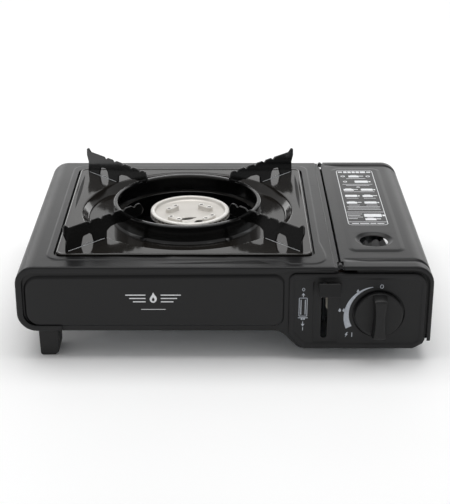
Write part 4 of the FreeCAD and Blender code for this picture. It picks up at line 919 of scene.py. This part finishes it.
# %% Bosses with their jets
def boss(name, first, second, deep):
    """A block with round ends under two jets, standing on the sloping floor."""
    a, b = Vector(first), Vector(second)
    along = (b - a).normalized()
    across = Vector((-along.y, along.x))
    made, rows = Skin(), []
    for grow, z in ((0.5, -deep), (0.15, -deep + 0.6), (0, -1.1), (-0.35, -0.7), (-0.8, -0.6)):
        loop = []
        for end, sign in ((b, 1), (a, -1)):
            for step in range(9):
                t = math.radians(-90 + 180 * step / 8)
                spot = end + (along * math.cos(t) + across * math.sin(t)) * sign * (2.9 + grow)
                loop.append((BURNER[0] + spot.x, BURNER[1] + spot.y, CAP_TOP + z))
        rows.append(loop)
    made.grid(rows, closed=True)
    made.flat(rows[0])
    holes, jets = [], Skin()
    for spot in (a, b):
        place = (BURNER[0] + spot.x, BURNER[1] + spot.y)
        holes.append(circle(place, 1.5, CAP_TOP - 0.6, 20))
        made.grid([holes[-1], circle(place, 1.45, CAP_TOP - 3, 20)], closed=True)
        made.flat(circle(place, 1.45, CAP_TOP - 3, 20))
        jets.grid(turned([(2.6, CAP_TOP - 0.62), (2.55, CAP_TOP - 0.35), (2.2, CAP_TOP - 0.22),
                          (1.75, CAP_TOP - 0.22),
                          (1.5, CAP_TOP - 0.4), (1.4, CAP_TOP - 2.8), (2.6, CAP_TOP - 0.62)], place, 24),
                          closed=True)
        # Painted shade: a dark plug down each jet hole stands in for the shade deep in the bore.
        plug = turned([(1.38, CAP_TOP - 0.75), (1.38, CAP_TOP - 2.6)], place, 20)
        bore_shade.grid(plug, closed=True)
        bore_shade.flat(plug[0])
        bore_shade.flat(plug[1])
    made.flat(rows[-1], *holes)
    piece(name, made, BURNER_METAL, "root", (), "burner_metal")
    piece(name + "_jets", jets, POLISHED, "root", (), "burner_metal")


bore_shade = Skin()
for index, (first, second, deep) in enumerate((((-18.9, 3.5), (-13.4, 10.6), 4.6),
                                               ((10.1, 13.1), (17.2, 7.2), 4.6),
                                               ((-16.3, -15.6), (-9.2, -21.4), 4.4),
                                               ((14.4, -19.6), (20, -12.5), 4.4))):
    boss("burner_boss_%d" % (index + 1), first, second, deep)
# Painted shade: a dark disc under the cap makes the openings look black, as shade would.
shade = turned([(CAP_RADIUS - 9, CAP_TOP - 7.4), (CAP_RADIUS - 9, CAP_TOP - 7.0)], BURNER, 48)
bore_shade.grid(shade, closed=True)
bore_shade.flat(shade[0])
bore_shade.flat(shade[1])
piece("burner_painted_bore_shade", bore_shade, SUPPORT_ENAMEL, "root", (), "burner_metal")
rim_ring = Skin()
rim_ring.grid(turned([(inner + 1.0, CAP_TOP - 0.02), (inner + 1.4, CAP_TOP + 0.1),
                      (CAP_RADIUS - 1.3, CAP_TOP + 0.1),
                      (CAP_RADIUS - 0.6, CAP_TOP - 0.22), (inner + 1.0, CAP_TOP - 0.4),
                      (inner + 1.0, CAP_TOP - 0.02)],
                     BURNER, 120), closed=True)
piece("burner_turned_rim", rim_ring, POLISHED, "root", (), "burner_metal")

# %% [markdown]
# ## The front sheet
# The front closes the case behind the shell's flange. Its long field is pressed forward with soft
# shoulders, and the knob's spindle and the lever pass through it. Nested outlines give the shoulder an
# even, rounded slope. A matt black strip behind the gap above the control panel is painted shade: it stands
# for the dark inside of the bay and keeps the parts inside from showing.

# %% Front sheet
panel_low, panel_high = corners("control_panel")
SHEET_FACE = FRONT + 2.2
BAY_LEFT, BAY_LOW = panel_low[0] + 5.5, panel_low[2]
knob_low, knob_high = corners("knob")
KNOB = ((knob_low[0] + knob_high[0]) / 2, (knob_low[2] + knob_high[2]) / 2)
KNOB_RADIUS = (knob_high[0] - knob_low[0]) / 2
SLOT_MIDDLE, SLOT_HALF, SLOT_LOW, SLOT_HIGH = 81.65, 2.65, 20.5, 70.5
SPINDLE_HOLE = 4


def standing(loop, y):
    """Lift a flat outline of (x, z) points up to stand at y."""
    return [(x, y, z) for x, z in loop]


edge = SKIN + 0.2
bay_edge = LID_TOP - RIM - 1.3
sheet_corners = [(LEFT + edge, TOP - edge, CORNER - edge), (SEAM - 4, TOP - edge - 0.6), (SEAM - 4, bay_edge),
                 (RIGHT - 4.6, bay_edge, 11), (RIGHT - 4.6, BAY_LOW + 7), (RIGHT - 15, BAY_LOW),
                 (BAY_LEFT + 3.6, BAY_LOW, 7), (BAY_LEFT - 12.4, UNDER, 13), (LEFT + 36.6, UNDER),
                 (LEFT + 36.6, UNDER + 1), (LEFT + edge, UNDER + 1, CORNER - edge - 0.2)]
field_corners = [(LEFT + 7.1, UNDER + 49.3, 12), (BAY_LEFT - 9.3, UNDER + 50.6, 8),
                 (BAY_LEFT - 9.3, UNDER + 4.5, 8),
                 (LEFT + 7.1, UNDER + 4.5, 12)]
front_sheet = Skin()
field = [standing(soft_polygon(field_corners, inset, 8), SHEET_FACE - rise)
         for inset, rise in ((-0.6, 0), (0, 0.2), (0.8, 1.1), (1.5, 1.65), (2.4, 1.8))]
front_sheet.grid(field, closed=True)
front_sheet.flat(field[-1])
spindle_hole = upright_ring(KNOB, SPINDLE_HOLE, SHEET_FACE, 24)
slot_left, slot_right = SLOT_MIDDLE - SLOT_HALF, SLOT_MIDDLE + SLOT_HALF
lever_hole = standing([(slot_left, SLOT_LOW), (slot_right, SLOT_LOW), (slot_right, SLOT_HIGH),
                       (slot_left, SLOT_HIGH)],
                      SHEET_FACE)
front_sheet.flat(standing(soft_polygon(sheet_corners, 0, 6), SHEET_FACE), field[0], spindle_hole, lever_hole)
piece("front_sheet", front_sheet, SHELL_PAINT, "root", ["front_panel"], "shell_paint", thickness=SKIN,
      outwards=(0, -1, 0))
# Painted shade: a matt black sheet behind the gap, where the inside of the bay would be in shade.
shade_strip = Skin()
shade_high = LID_TOP - 2 * SKIN - 0.5
shade_strip.flat(standing(soft_polygon([(LID_LEFT + 13, shade_high), (RIGHT - 1.8, shade_high, 14.2),
                                        (RIGHT - 1.8, 22),
                                        (RIGHT - 6, 22), (RIGHT - 6, bay_edge - 2, 9),
                                        (LID_LEFT + 13, bay_edge - 2)],
                                       0, 6), SHEET_FACE + SKIN + 0.05))
piece("lid_gap_painted_shade_strip", shade_strip, SEAL_RUBBER_AND_SHADE, "root", (), "seal_rubber", thickness=0.5,
      outwards=(0, -1, 0))

# %% [markdown]
# ## The control panel
# The moulding round the knob and lever is thicker than the sheet, so its edge is a soft raised border.
# Inside it the face drops a little, sinks again round the lever, and opens in a round well for the knob and
# a slot for the lever.

# %% Control panel
panel_corners = [(panel_low[0], panel_high[2], 6), (panel_high[0], panel_high[2], 11),
                 (panel_high[0], BAY_LOW + 5, 4), (panel_high[0] - 9, BAY_LOW, 3),
                 (panel_low[0] + 12, BAY_LOW, 3),
                 (panel_low[0], BAY_LOW + 14, 5)]
BORDER = [(0, 2.2), (0, 1.2), (0.3, 0.5), (0.9, 0.12), (1.7, 0), (2.9, 0), (3.8, 0.25), (4.6, 0.75),
          (5.4, 0.95)]
FACE = FRONT + 0.95
panel = Skin()
border = [standing(soft_polygon(panel_corners, inset, 8), FRONT + back) for inset, back in BORDER]
panel.grid(border, closed=True)
WELL = KNOB_RADIUS + 1.2
well = [upright_ring(KNOB, radius, y)
        for radius, y in ((WELL + 0.8, FACE), (WELL + 0.3, FACE + 0.1), (WELL, FACE + 0.4),
                          (WELL, FRONT + 2.2))]
panel.grid(well, closed=True)
recess_corners = [(SLOT_MIDDLE - 9.8, 72.9, 3), (SLOT_MIDDLE + 12.9, 72.9, 3), (SLOT_MIDDLE + 12.9, 15.8, 3),
                  (SLOT_MIDDLE - 9.8, 15.8, 3)]
recess = [standing(soft_polygon(recess_corners, inset, 6), FRONT + back)
          for inset, back in ((-0.3, 0.95), (0.1, 1.03), (0.7, 1.45), (1.3, 1.68), (1.9, 1.72))]
panel.grid(recess, closed=True)
slot_corners = [(slot_left, SLOT_HIGH, 2.5), (slot_right, SLOT_HIGH, 2.5), (slot_right, SLOT_LOW, 2.5),
                (slot_left, SLOT_LOW, 2.5)]
slot = [standing(soft_polygon(slot_corners, inset, 6), FRONT + back) for inset,
        back in ((-0.3, 1.72), (0, 1.85), (0, 2.2))]
panel.grid(slot, closed=True)
panel.flat(recess[-1], slot[0])
panel.flat(border[-1], well[0], recess[0])
panel.flat(border[0], well[-1], slot[-1])
piece("control_panel_moulding", panel, CONTROL_PLASTIC, "root", ["control_panel"], "control_plastic",
      angle=40)

# %% [markdown]
# ## The knob
# A dished disc carries a raised grip whose sides are hollowed for the fingers. The grip is a stack of
# outlines that shrink near the top, so its edges are rounded and its two ends slope.

# %% Knob
KNOB_FACE, KNOB_FRONT = FRONT - 3, knob_low[1]


def grip_loop(side, end, waist, y, steps=14):
    """The grip's outline: hollow sides and slightly crowned ends with small corners."""
    loop = []
    for sign in (1, -1):
        for step in range(steps + 1):
            along = -1 + 2 * step / steps
            x = sign * (waist + (side - waist) * along * along)
            loop.append((KNOB[0] + x, y, KNOB[1] + sign * along * (end - 0.9)))
        for step in range(1, 4):
            share = step / 4
            loop.append((KNOB[0] + sign * side * (1 - 2 * share), y,
                         KNOB[1] + sign * (end + 0.15 * math.sin(math.pi * share))))
    return loop


knob = Skin()
SPINDLE_BORE = 3.05
knob_profile = [(SPINDLE_BORE, KNOB_FRONT + 6), (SPINDLE_BORE, FRONT + 1.4), (KNOB_RADIUS - 0.5, FRONT + 1.4),
                (KNOB_RADIUS, FRONT + 0.9), (KNOB_RADIUS, KNOB_FACE + 1.3),
                (KNOB_RADIUS - 0.3, KNOB_FACE + 0.6),
                (KNOB_RADIUS - 1.1, KNOB_FACE + 0.1), (KNOB_RADIUS - 1.9, KNOB_FACE),
                (KNOB_RADIUS - 2.6, KNOB_FACE + 0.15)]
knob_rows = [upright_ring(KNOB, radius, y) for radius, y in knob_profile]
knob.grid(knob_rows, closed=True)
knob.flat(knob_rows[0])
knob.flat(knob_rows[-1])
piece("knob_disc", knob, KNOB_PLASTIC, "knob", ["knob"], "control_plastic", angle=40)
grip = Skin()
half_grip, end_grip = 5.5, KNOB_RADIUS - 0.35
rows = [grip_loop(half_grip + grow, end_grip + stretch, 4.3 + grow, KNOB_FACE + 0.3 - rise)
        for grow, stretch, rise in ((0.5, -0.4, 0), (0.15, -0.5, 0.6), (0, -0.6, 1.4), (-0.1, -1.0, 5),
                                    (-0.2, -1.6, 8.3), (-0.45, -2.1, 9.4), (-0.9, -2.8, 10.0),
                                    (-1.6, -3.6, 10.28))]
grip.grid(rows, closed=True)
grip.flat(rows[0])
grip.flat(rows[-1])
piece("knob_grip", grip, KNOB_PLASTIC, "knob", (), "control_plastic", angle=40)

# %% [markdown]
# ## Everything behind the covers
# The lever, valve, pipework and the parts under the lid are seen when the lid is up, so each one gets
# rounded edges and its own metal. A table names the finish and the edge of each node, and one loop makes
# them all.

# %% Finishes of the other nodes
SLOT_OF = {row["node"]: row["material_slot"] for row in frame["record"]["subparts"]}
FINISHES = {
    (SHELL_PAINT, 0.15): ["rear_panel", "front_hinge_pin", "rear_hinge_pin", "front_hinge_bracket",
                          "rear_hinge_bracket", "lever_bracket"],
    (GALVANISED, 0.12): ["base_pan", "canister_tray", "bay_divider", "heat_shield",
                         "canister_carriage", "carriage_guide", "electrode_bracket", "electrode_post",
                         "burner_bracket", "regulator_bracket", "canister_locator", "piezo_clip",
                         "mixing_tube"],
    (CONTROL_PLASTIC, 0.9): ["lever_tab"],
    (CONTROL_PLASTIC, 0.4): ["igniter_cam"],
    (SUPPORT_ENAMEL, 0.25): ["lever_arm"],
    (PLATED, 0.25): ["lever_pivot_pin", "lid_catch_spring", "canister_leaf_spring", "igniter_electrode",
                     "piezo_plunger"],
    (ZINC, 0.5): ["regulator_body", "regulator_cover"],
    (BRASS, 0.25): ["gas_jet", "canister_inlet", "inlet_probe", "valve_spindle"],
    (BURNER_METAL, 0.4): ["burner_bowl"],
    (COPPER, 0): ["gas_pipe"], (LEAD_SLEEVE, 0): ["ignition_lead"],
    (CERAMIC, 0.3): ["igniter_ceramic"], (SEAL_RUBBER_AND_SHADE, 0.2): ["inlet_seal"],
    (PIEZO_CASE, 0.4): ["piezo_igniter"],
    (FOOT_RUBBER, 0.7): ["foot_front_left", "foot_rear_left", "foot_front_right", "foot_rear_right"],
}
for (material, bevel), nodes in FINISHES.items():
    for node in nodes:
        finished(node, material, bevel, slot=SLOT_OF[node])
print("finished copies:", sum(len(nodes) for nodes in FINISHES.values()))

# %% [markdown]
# ## Screws
# Twelve pan-head screws hold the base, the burner and the regulator's cover. One tree makes a domed head
# with a cross recess and sets it on the points that it is given, turned a little differently each time as
# real screws are.


# %% Screw tree
def screw_tree(turn):
    """Domed heads with a cross recess, facing along one axis."""
    graph, (geometry, radius, height, seed) = new_tree(
        "screw_tree", ("Radius", "Float", 0.003), ("Height", "Float", 0.002), ("Seed", "Int", 3))
    body = graph.node("GeometryNodeMeshCylinder", {},
                      {"Vertices": 24, "Radius": radius, "Depth": height * 0.5})
    body = graph.node("GeometryNodeTransform", {}, {"Geometry": body, "Translation": graph.node(
        "ShaderNodeCombineXYZ", {}, {"Z": height * 0.25})})
    dome = graph.node("GeometryNodeMeshCone", {}, {"Vertices": 24, "Radius Top": radius * 0.62,
                                                    "Radius Bottom": radius * 0.985, "Depth": height * 0.5})
    dome = graph.node("GeometryNodeTransform", {}, {"Geometry": dome, "Translation": graph.node(
        "ShaderNodeCombineXYZ", {}, {"Z": height * 0.499})})
    head = graph.node("GeometryNodeMeshBoolean", {"operation": "UNION", "solver": "EXACT"}, {"Mesh 2": body})
    graph.tree.links.new(dome.socket, head.socket.node.inputs["Mesh 2"])
    size = graph.node("ShaderNodeCombineXYZ", {}, {"X": radius * 1.05, "Y": radius * 0.24, "Z": height * 0.9})
    other = graph.node("ShaderNodeCombineXYZ", {},
                       {"X": radius * 0.24, "Y": radius * 1.05, "Z": height * 0.9})
    up = graph.node("ShaderNodeCombineXYZ", {}, {"Z": height})
    bars = [graph.node("GeometryNodeTransform", {}, {"Geometry": graph.node(
        "GeometryNodeMeshCube", {}, {"Size": shape}), "Translation": up}) for shape in (size, other)]
    for bar in bars:
        head = graph.node("GeometryNodeMeshBoolean", {"operation": "DIFFERENCE", "solver": "EXACT"},
                          {"Mesh 1": head, "Mesh 2": bar})
    spin = graph.node("FunctionNodeRandomValue", {"data_type": "FLOAT"}, {2: 0.0, 3: 1.5, "Seed": seed},
                      out=1)
    spun = graph.node("GeometryNodeInstanceOnPoints", {}, {
        "Points": geometry, "Instance": graph.node("GeometryNodeTransform", {},
                                                   {"Geometry": head, "Rotation": turn}),
        "Rotation": graph.node("ShaderNodeCombineXYZ", {},
                               {"XYZ"[2 if turn == (0, 0, 0) or abs(turn[0]) > 3 else 0]: spin})})
    return close_tree(graph, spun, PLATED)


def screw_places(node, axis, end):
    """One point at the middle of each screw's underside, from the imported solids."""
    work = welded(frame["nodes"][node].data)
    left_over, places = set(work.verts), []
    while left_over:
        island, queue = [], [left_over.pop()]
        while queue:
            vert = queue.pop()
            island.append(vert.co.copy())
            for edge in vert.link_edges:
                nearby = edge.other_vert(vert)
                if nearby in left_over:
                    left_over.remove(nearby)
                    queue.append(nearby)
        low = [min(co[i] for co in island) for i in range(3)]
        high = [max(co[i] for co in island) for i in range(3)]
        place = [(a + b) / 2 * 1000 for a, b in zip(low, high)]
        place[axis] = (low if end < 0 else high)[axis] * 1000
        places.append(place)
    work.free()
    return places


for node, axis, end, turn, radius, height in (("burner_screws", 2, -1, (0, 0, 0), 0.003, 0.0021),
                                              ("base_screws", 2, 1, (math.pi, 0, 0), 0.0032, 0.002),
                                              ("regulator_screws", 0, -1, (0, math.pi / 2, 0), 0.0018,
                                               0.0016)):
    grown(node + "_heads", screw_tree(turn), screw_places(node, axis, end), PLATED, "root", [node],
          "plated_steel",
          Radius=radius, Height=height, Seed=5)

# %% [markdown]
# ## Printed marks
# The marks are one pale ink, printed a little proud of the plastic: an arc that thickens towards the high
# flame, a stroke and a ring for on and off, flames of two sizes, a spark, and a plain canister with arrows
# for the lever. Each mark is a thin closed plate, so it can be seen from any side and stays on its piece.


# %% Marks for the front
PRINT_THICK = 0.05


def printed(name, shapes, ink, body, slot, outwards):
    """Thin plates; each shape is an outline and its holes, already in place."""
    mark = Skin()
    for loops in shapes:
        mark.flat(*loops)
    piece(name, mark, ink, body, (), slot, thickness=PRINT_THICK, outwards=outwards)


def plate_mark(name, shapes, y, slot="control_plastic", ink=INK):
    """Shapes of (x, z) points that face the front."""
    printed(name, [[standing(loop, y) for loop in loops] for loops in shapes], ink, "root", slot, (0, -1, 0))


def oval(middle, across, up, count=24):
    turns = [2 * math.pi * i / count for i in range(count)]
    return [(middle[0] + across * math.cos(t), middle[1] + up * math.sin(t)) for t in turns]


def bar(x, z):
    return [(x[0], z[0]), (x[1], z[0]), (x[1], z[1]), (x[0], z[1])]


def flame(middle, size):
    """A drop that leans and ends in a point."""
    shape = [(0, 1.25), (0.28, 0.75), (0.62, 0.3), (0.72, -0.15), (0.6, -0.6), (0.3, -0.9), (0, -0.98),
             (-0.3, -0.9),
             (-0.6, -0.6), (-0.7, -0.15), (-0.5, 0.3), (-0.2, 0.7)]
    return [(middle[0] + x * size, middle[1] + z * size) for x, z in shape]


def sector(inner, outer_start, outer_end, start, end, steps=40):
    """Part of a ring about the knob whose outer edge moves away evenly."""
    turns = [math.radians(start + (end - start) * step / steps) for step in range(steps + 1)]
    outside = [outer_start + (outer_end - outer_start) * step / steps for step in range(steps + 1)]
    loop = [(KNOB[0] + r * math.cos(t), KNOB[1] + r * math.sin(t)) for r, t in zip(outside, turns)]
    return loop + [(KNOB[0] + inner * math.cos(t), KNOB[1] + inner * math.sin(t)) for t in turns[::-1]]


INK_FACE = FACE - 0.04
plate_mark("dial_arc", [[sector(24.5, 25.0, 29.7, 103, 207)]], INK_FACE)
OFF_PLACE, LEVER_OFF_PLACE = (127.7, 67.4), (64.3, 64.8)
plate_mark("off_mark", [[oval(OFF_PLACE, 1.5, 1.9), oval(OFF_PLACE, 0.95, 1.35)]], INK_FACE)
plate_mark("low_flame_mark", [[flame((108.4, 63.3), 1.5)]], INK_FACE)
plate_mark("high_flame_mark", [[flame((94.2, 46.2), 1.55)], [flame((97.6, 46.2), 1.55)]], INK_FACE)
spark = [(100.6, 26.0), (99.2, 23.6), (100.1, 23.6), (99.3, 21.3), (101.6, 24.3), (100.6, 24.3),
         (101.7, 26.0)]
plate_mark("spark_mark", [[spark]], INK_FACE)
plate_mark("on_mark", [[bar((104.6, 105.3), (21.7, 25.7))]], INK_FACE)
canister = [soft_polygon([(60.7, 57.4, 0.8), (67.7, 57.4, 0.8), (67.7, 40.5, 0.8), (60.7, 40.5, 0.8)],
                         inset, 3)
            for inset in (0, 0.55)]
marks = [[canister[0], canister[1]], [bar((62.1, 62.8), (42.2, 55.6))], [bar((65.6, 66.3), (42.2, 55.6))],
         [bar((60.2, 68.2), (38.9, 39.6))],
         [bar((62.6, 65.8), (37.4, 38.9)), bar((63.5, 64.9), (37.8, 38.5))]]
marks += [[[(64.2, 61.6), (62.7, 59.6), (65.7, 59.6)]], [[(64.2, 31.4), (65.7, 33.6), (62.7, 33.6)]],
          [bar((63.9, 64.5), (33.6, 35.8))], [bar((63.9, 64.5), (57.9, 59.6))]]
plate_mark("lever_marks", marks, INK_FACE)
plate_mark("lever_off_mark", [[oval(LEVER_OFF_PLACE, 1.15, 1.45), oval(LEVER_OFF_PLACE, 0.7, 1.0)]], INK_FACE)
plate_mark("lever_on_mark", [[bar((63.95, 64.55), (27.6, 30.6))]], INK_FACE)

# %% [markdown]
# The front field carries a small decoration of its own: a drop of flame between plain lines. On the lid, a
# plain panel with simple picture signs takes the place where a notice would be.

# %% Decoration on the front and lid
DECOR = SHEET_FACE - 1.8 - 0.04
DECOR_MIDDLE = -58
lines = [[flame((DECOR_MIDDLE, 57.2), 4.2), flame((DECOR_MIDDLE, 56.2), 1.7)]]
for side in (-1, 1):
    for step, reach in enumerate((22.5, 19.5, 16.5)):
        x = sorted((DECOR_MIDDLE + side * 6.2, DECOR_MIDDLE + side * reach))
        lines.append([bar(x, (59.6 - 3 * step, 60.5 - 3 * step))])
lines.append([bar((DECOR_MIDDLE - 10, DECOR_MIDDLE + 10), (46.9, 47.4))])
plate_mark("front_decoration", lines, DECOR, slot="shell_paint", ink=WHITE_INK)


def lid_mark(name, shapes, height):
    """Shapes of (x, y) points that face up."""
    lying = [[[(x, y, height) for x, y in loop] for loop in loops] for loops in shapes]
    printed(name, lying, WHITE_INK, "lid", "shell_paint", (0, 0, 1))


label_x, label_y = (107.6, 142.4), (FRONT + 86.3, FRONT + 225.6)
frame_loops = [soft_polygon([(label_x[0], label_y[1], 4), (label_x[1], label_y[1], 4),
                             (label_x[1], label_y[0], 4),
                             (label_x[0], label_y[0], 4)], inset, 5) for inset in (0, 0.55)]
signs = [[frame_loops[0], frame_loops[1]]]
middle = sum(label_x) / 2


def pot(x, y, size):
    """A pan from the side: a deep bar with a handle and a lid."""
    return [[bar((x - size, x + size * 0.5), (y - size * 0.42, y + size * 0.3))],
            [bar((x + size * 0.55, x + size * 1.15), (y - size * 0.05, y + size * 0.2))],
            [bar((x - size * 0.7, x + size * 0.2), (y + size * 0.38, y + size * 0.52))]]


def can(x, y, size):
    """A lying canister with its neck."""
    return [[soft_polygon([(x - size, y + size * 0.42, 1), (x + size * 0.8, y + size * 0.42, 1),
                           (x + size * 0.8, y - size * 0.42, 1), (x - size, y - size * 0.42, 1)], 0, 3)],
            [bar((x + size * 0.88, x + size * 1.15), (y - size * 0.2, y + size * 0.2))]]


def ring(x, y, size):
    return [[oval((x, y), size, size), oval((x, y), size * 0.55, size * 0.55)]]


for start, end in ((-10.5, -7.2), (-6.4, -3.2), (-2.4, 0.6), (1.4, 4.6), (5.4, 10.5)):
    signs.append([bar((middle + start, middle + end), (FRONT + 218, FRONT + 222.6))])
for side in (-1, 1):
    signs.append([bar((middle + side * 13.6 - 2, middle + side * 13.6 + 2), (FRONT + 219, FRONT + 221.8))])
for place, shape, size, aside in ((208.7, pot, 6.6, 0), (208.7, ring, 2.1, -12), (208.7, ring, 2.1, 12),
                                  (194.1, can, 7, 5), (194.1, ring, 2, -11), (179.5, ring, 1.6, 0),
                                  (172.7, pot, 6.2, -8), (172.7, can, 6.2, 8), (156.7, can, 6.2, -8),
                                  (156.7, pot, 6.2, 8), (139.9, pot, 6.2, -8), (139.9, can, 6.2, 8)):
    signs.extend(shape(middle + aside, FRONT + place, size))
for place, reach, shift in ((202.6, 9, 0), (187, 14, 0), (184, 11, 0), (167.4, 14, 0), (150.8, 5.5, -8),
                            (150.8, 5.5, 8),
                            (133.6, 5, -8), (133.6, 5, 8), (129.6, 15, 0), (126.4, 14, 0), (123.2, 14.6, 0),
                            (116.7, 16.6, 0), (112, 6.5, -9.5), (108.4, 5.5, -10.5), (104.8, 6.5, -9.5),
                            (101.2, 4, -12), (93.5, 16.6, 0)):
    signs.append([bar((middle + shift - reach, middle + shift + reach),
                      (FRONT + place - 0.35, FRONT + place + 0.35))])
signs.extend(can(middle + 7, FRONT + 108.6, 8.6))
signs.extend(pot(middle + 5, FRONT + 100, 6.4))
for start, end in ((-14, -8), (-7, 1), (2, 7), (8, 14)):
    signs.append([bar((middle + start, middle + end), (FRONT + 89.2, FRONT + 90.6))])
lid_mark("lid_signs", signs, FIELD_TOP + 0.04)

# %% [markdown]
# ## The floor
# The stove stands on a plain pale floor.

# %% Floor
floor = bpy.data.meshes.new("floor")
floor.from_pydata([(-6, -6, 0), (6, -6, 0), (6, 8, 0), (-6, 8, 0)], [], [(0, 1, 2, 3)])
floor_object = placed("floor", floor)
floor.materials.append(surface("pale_floor", lambda graph, place: {
    "Base Color": blend(graph, noise(graph, place, 300), tone(244), tone(250))}, Roughness=0.9,
    Specular_IOR_Level=0.1))
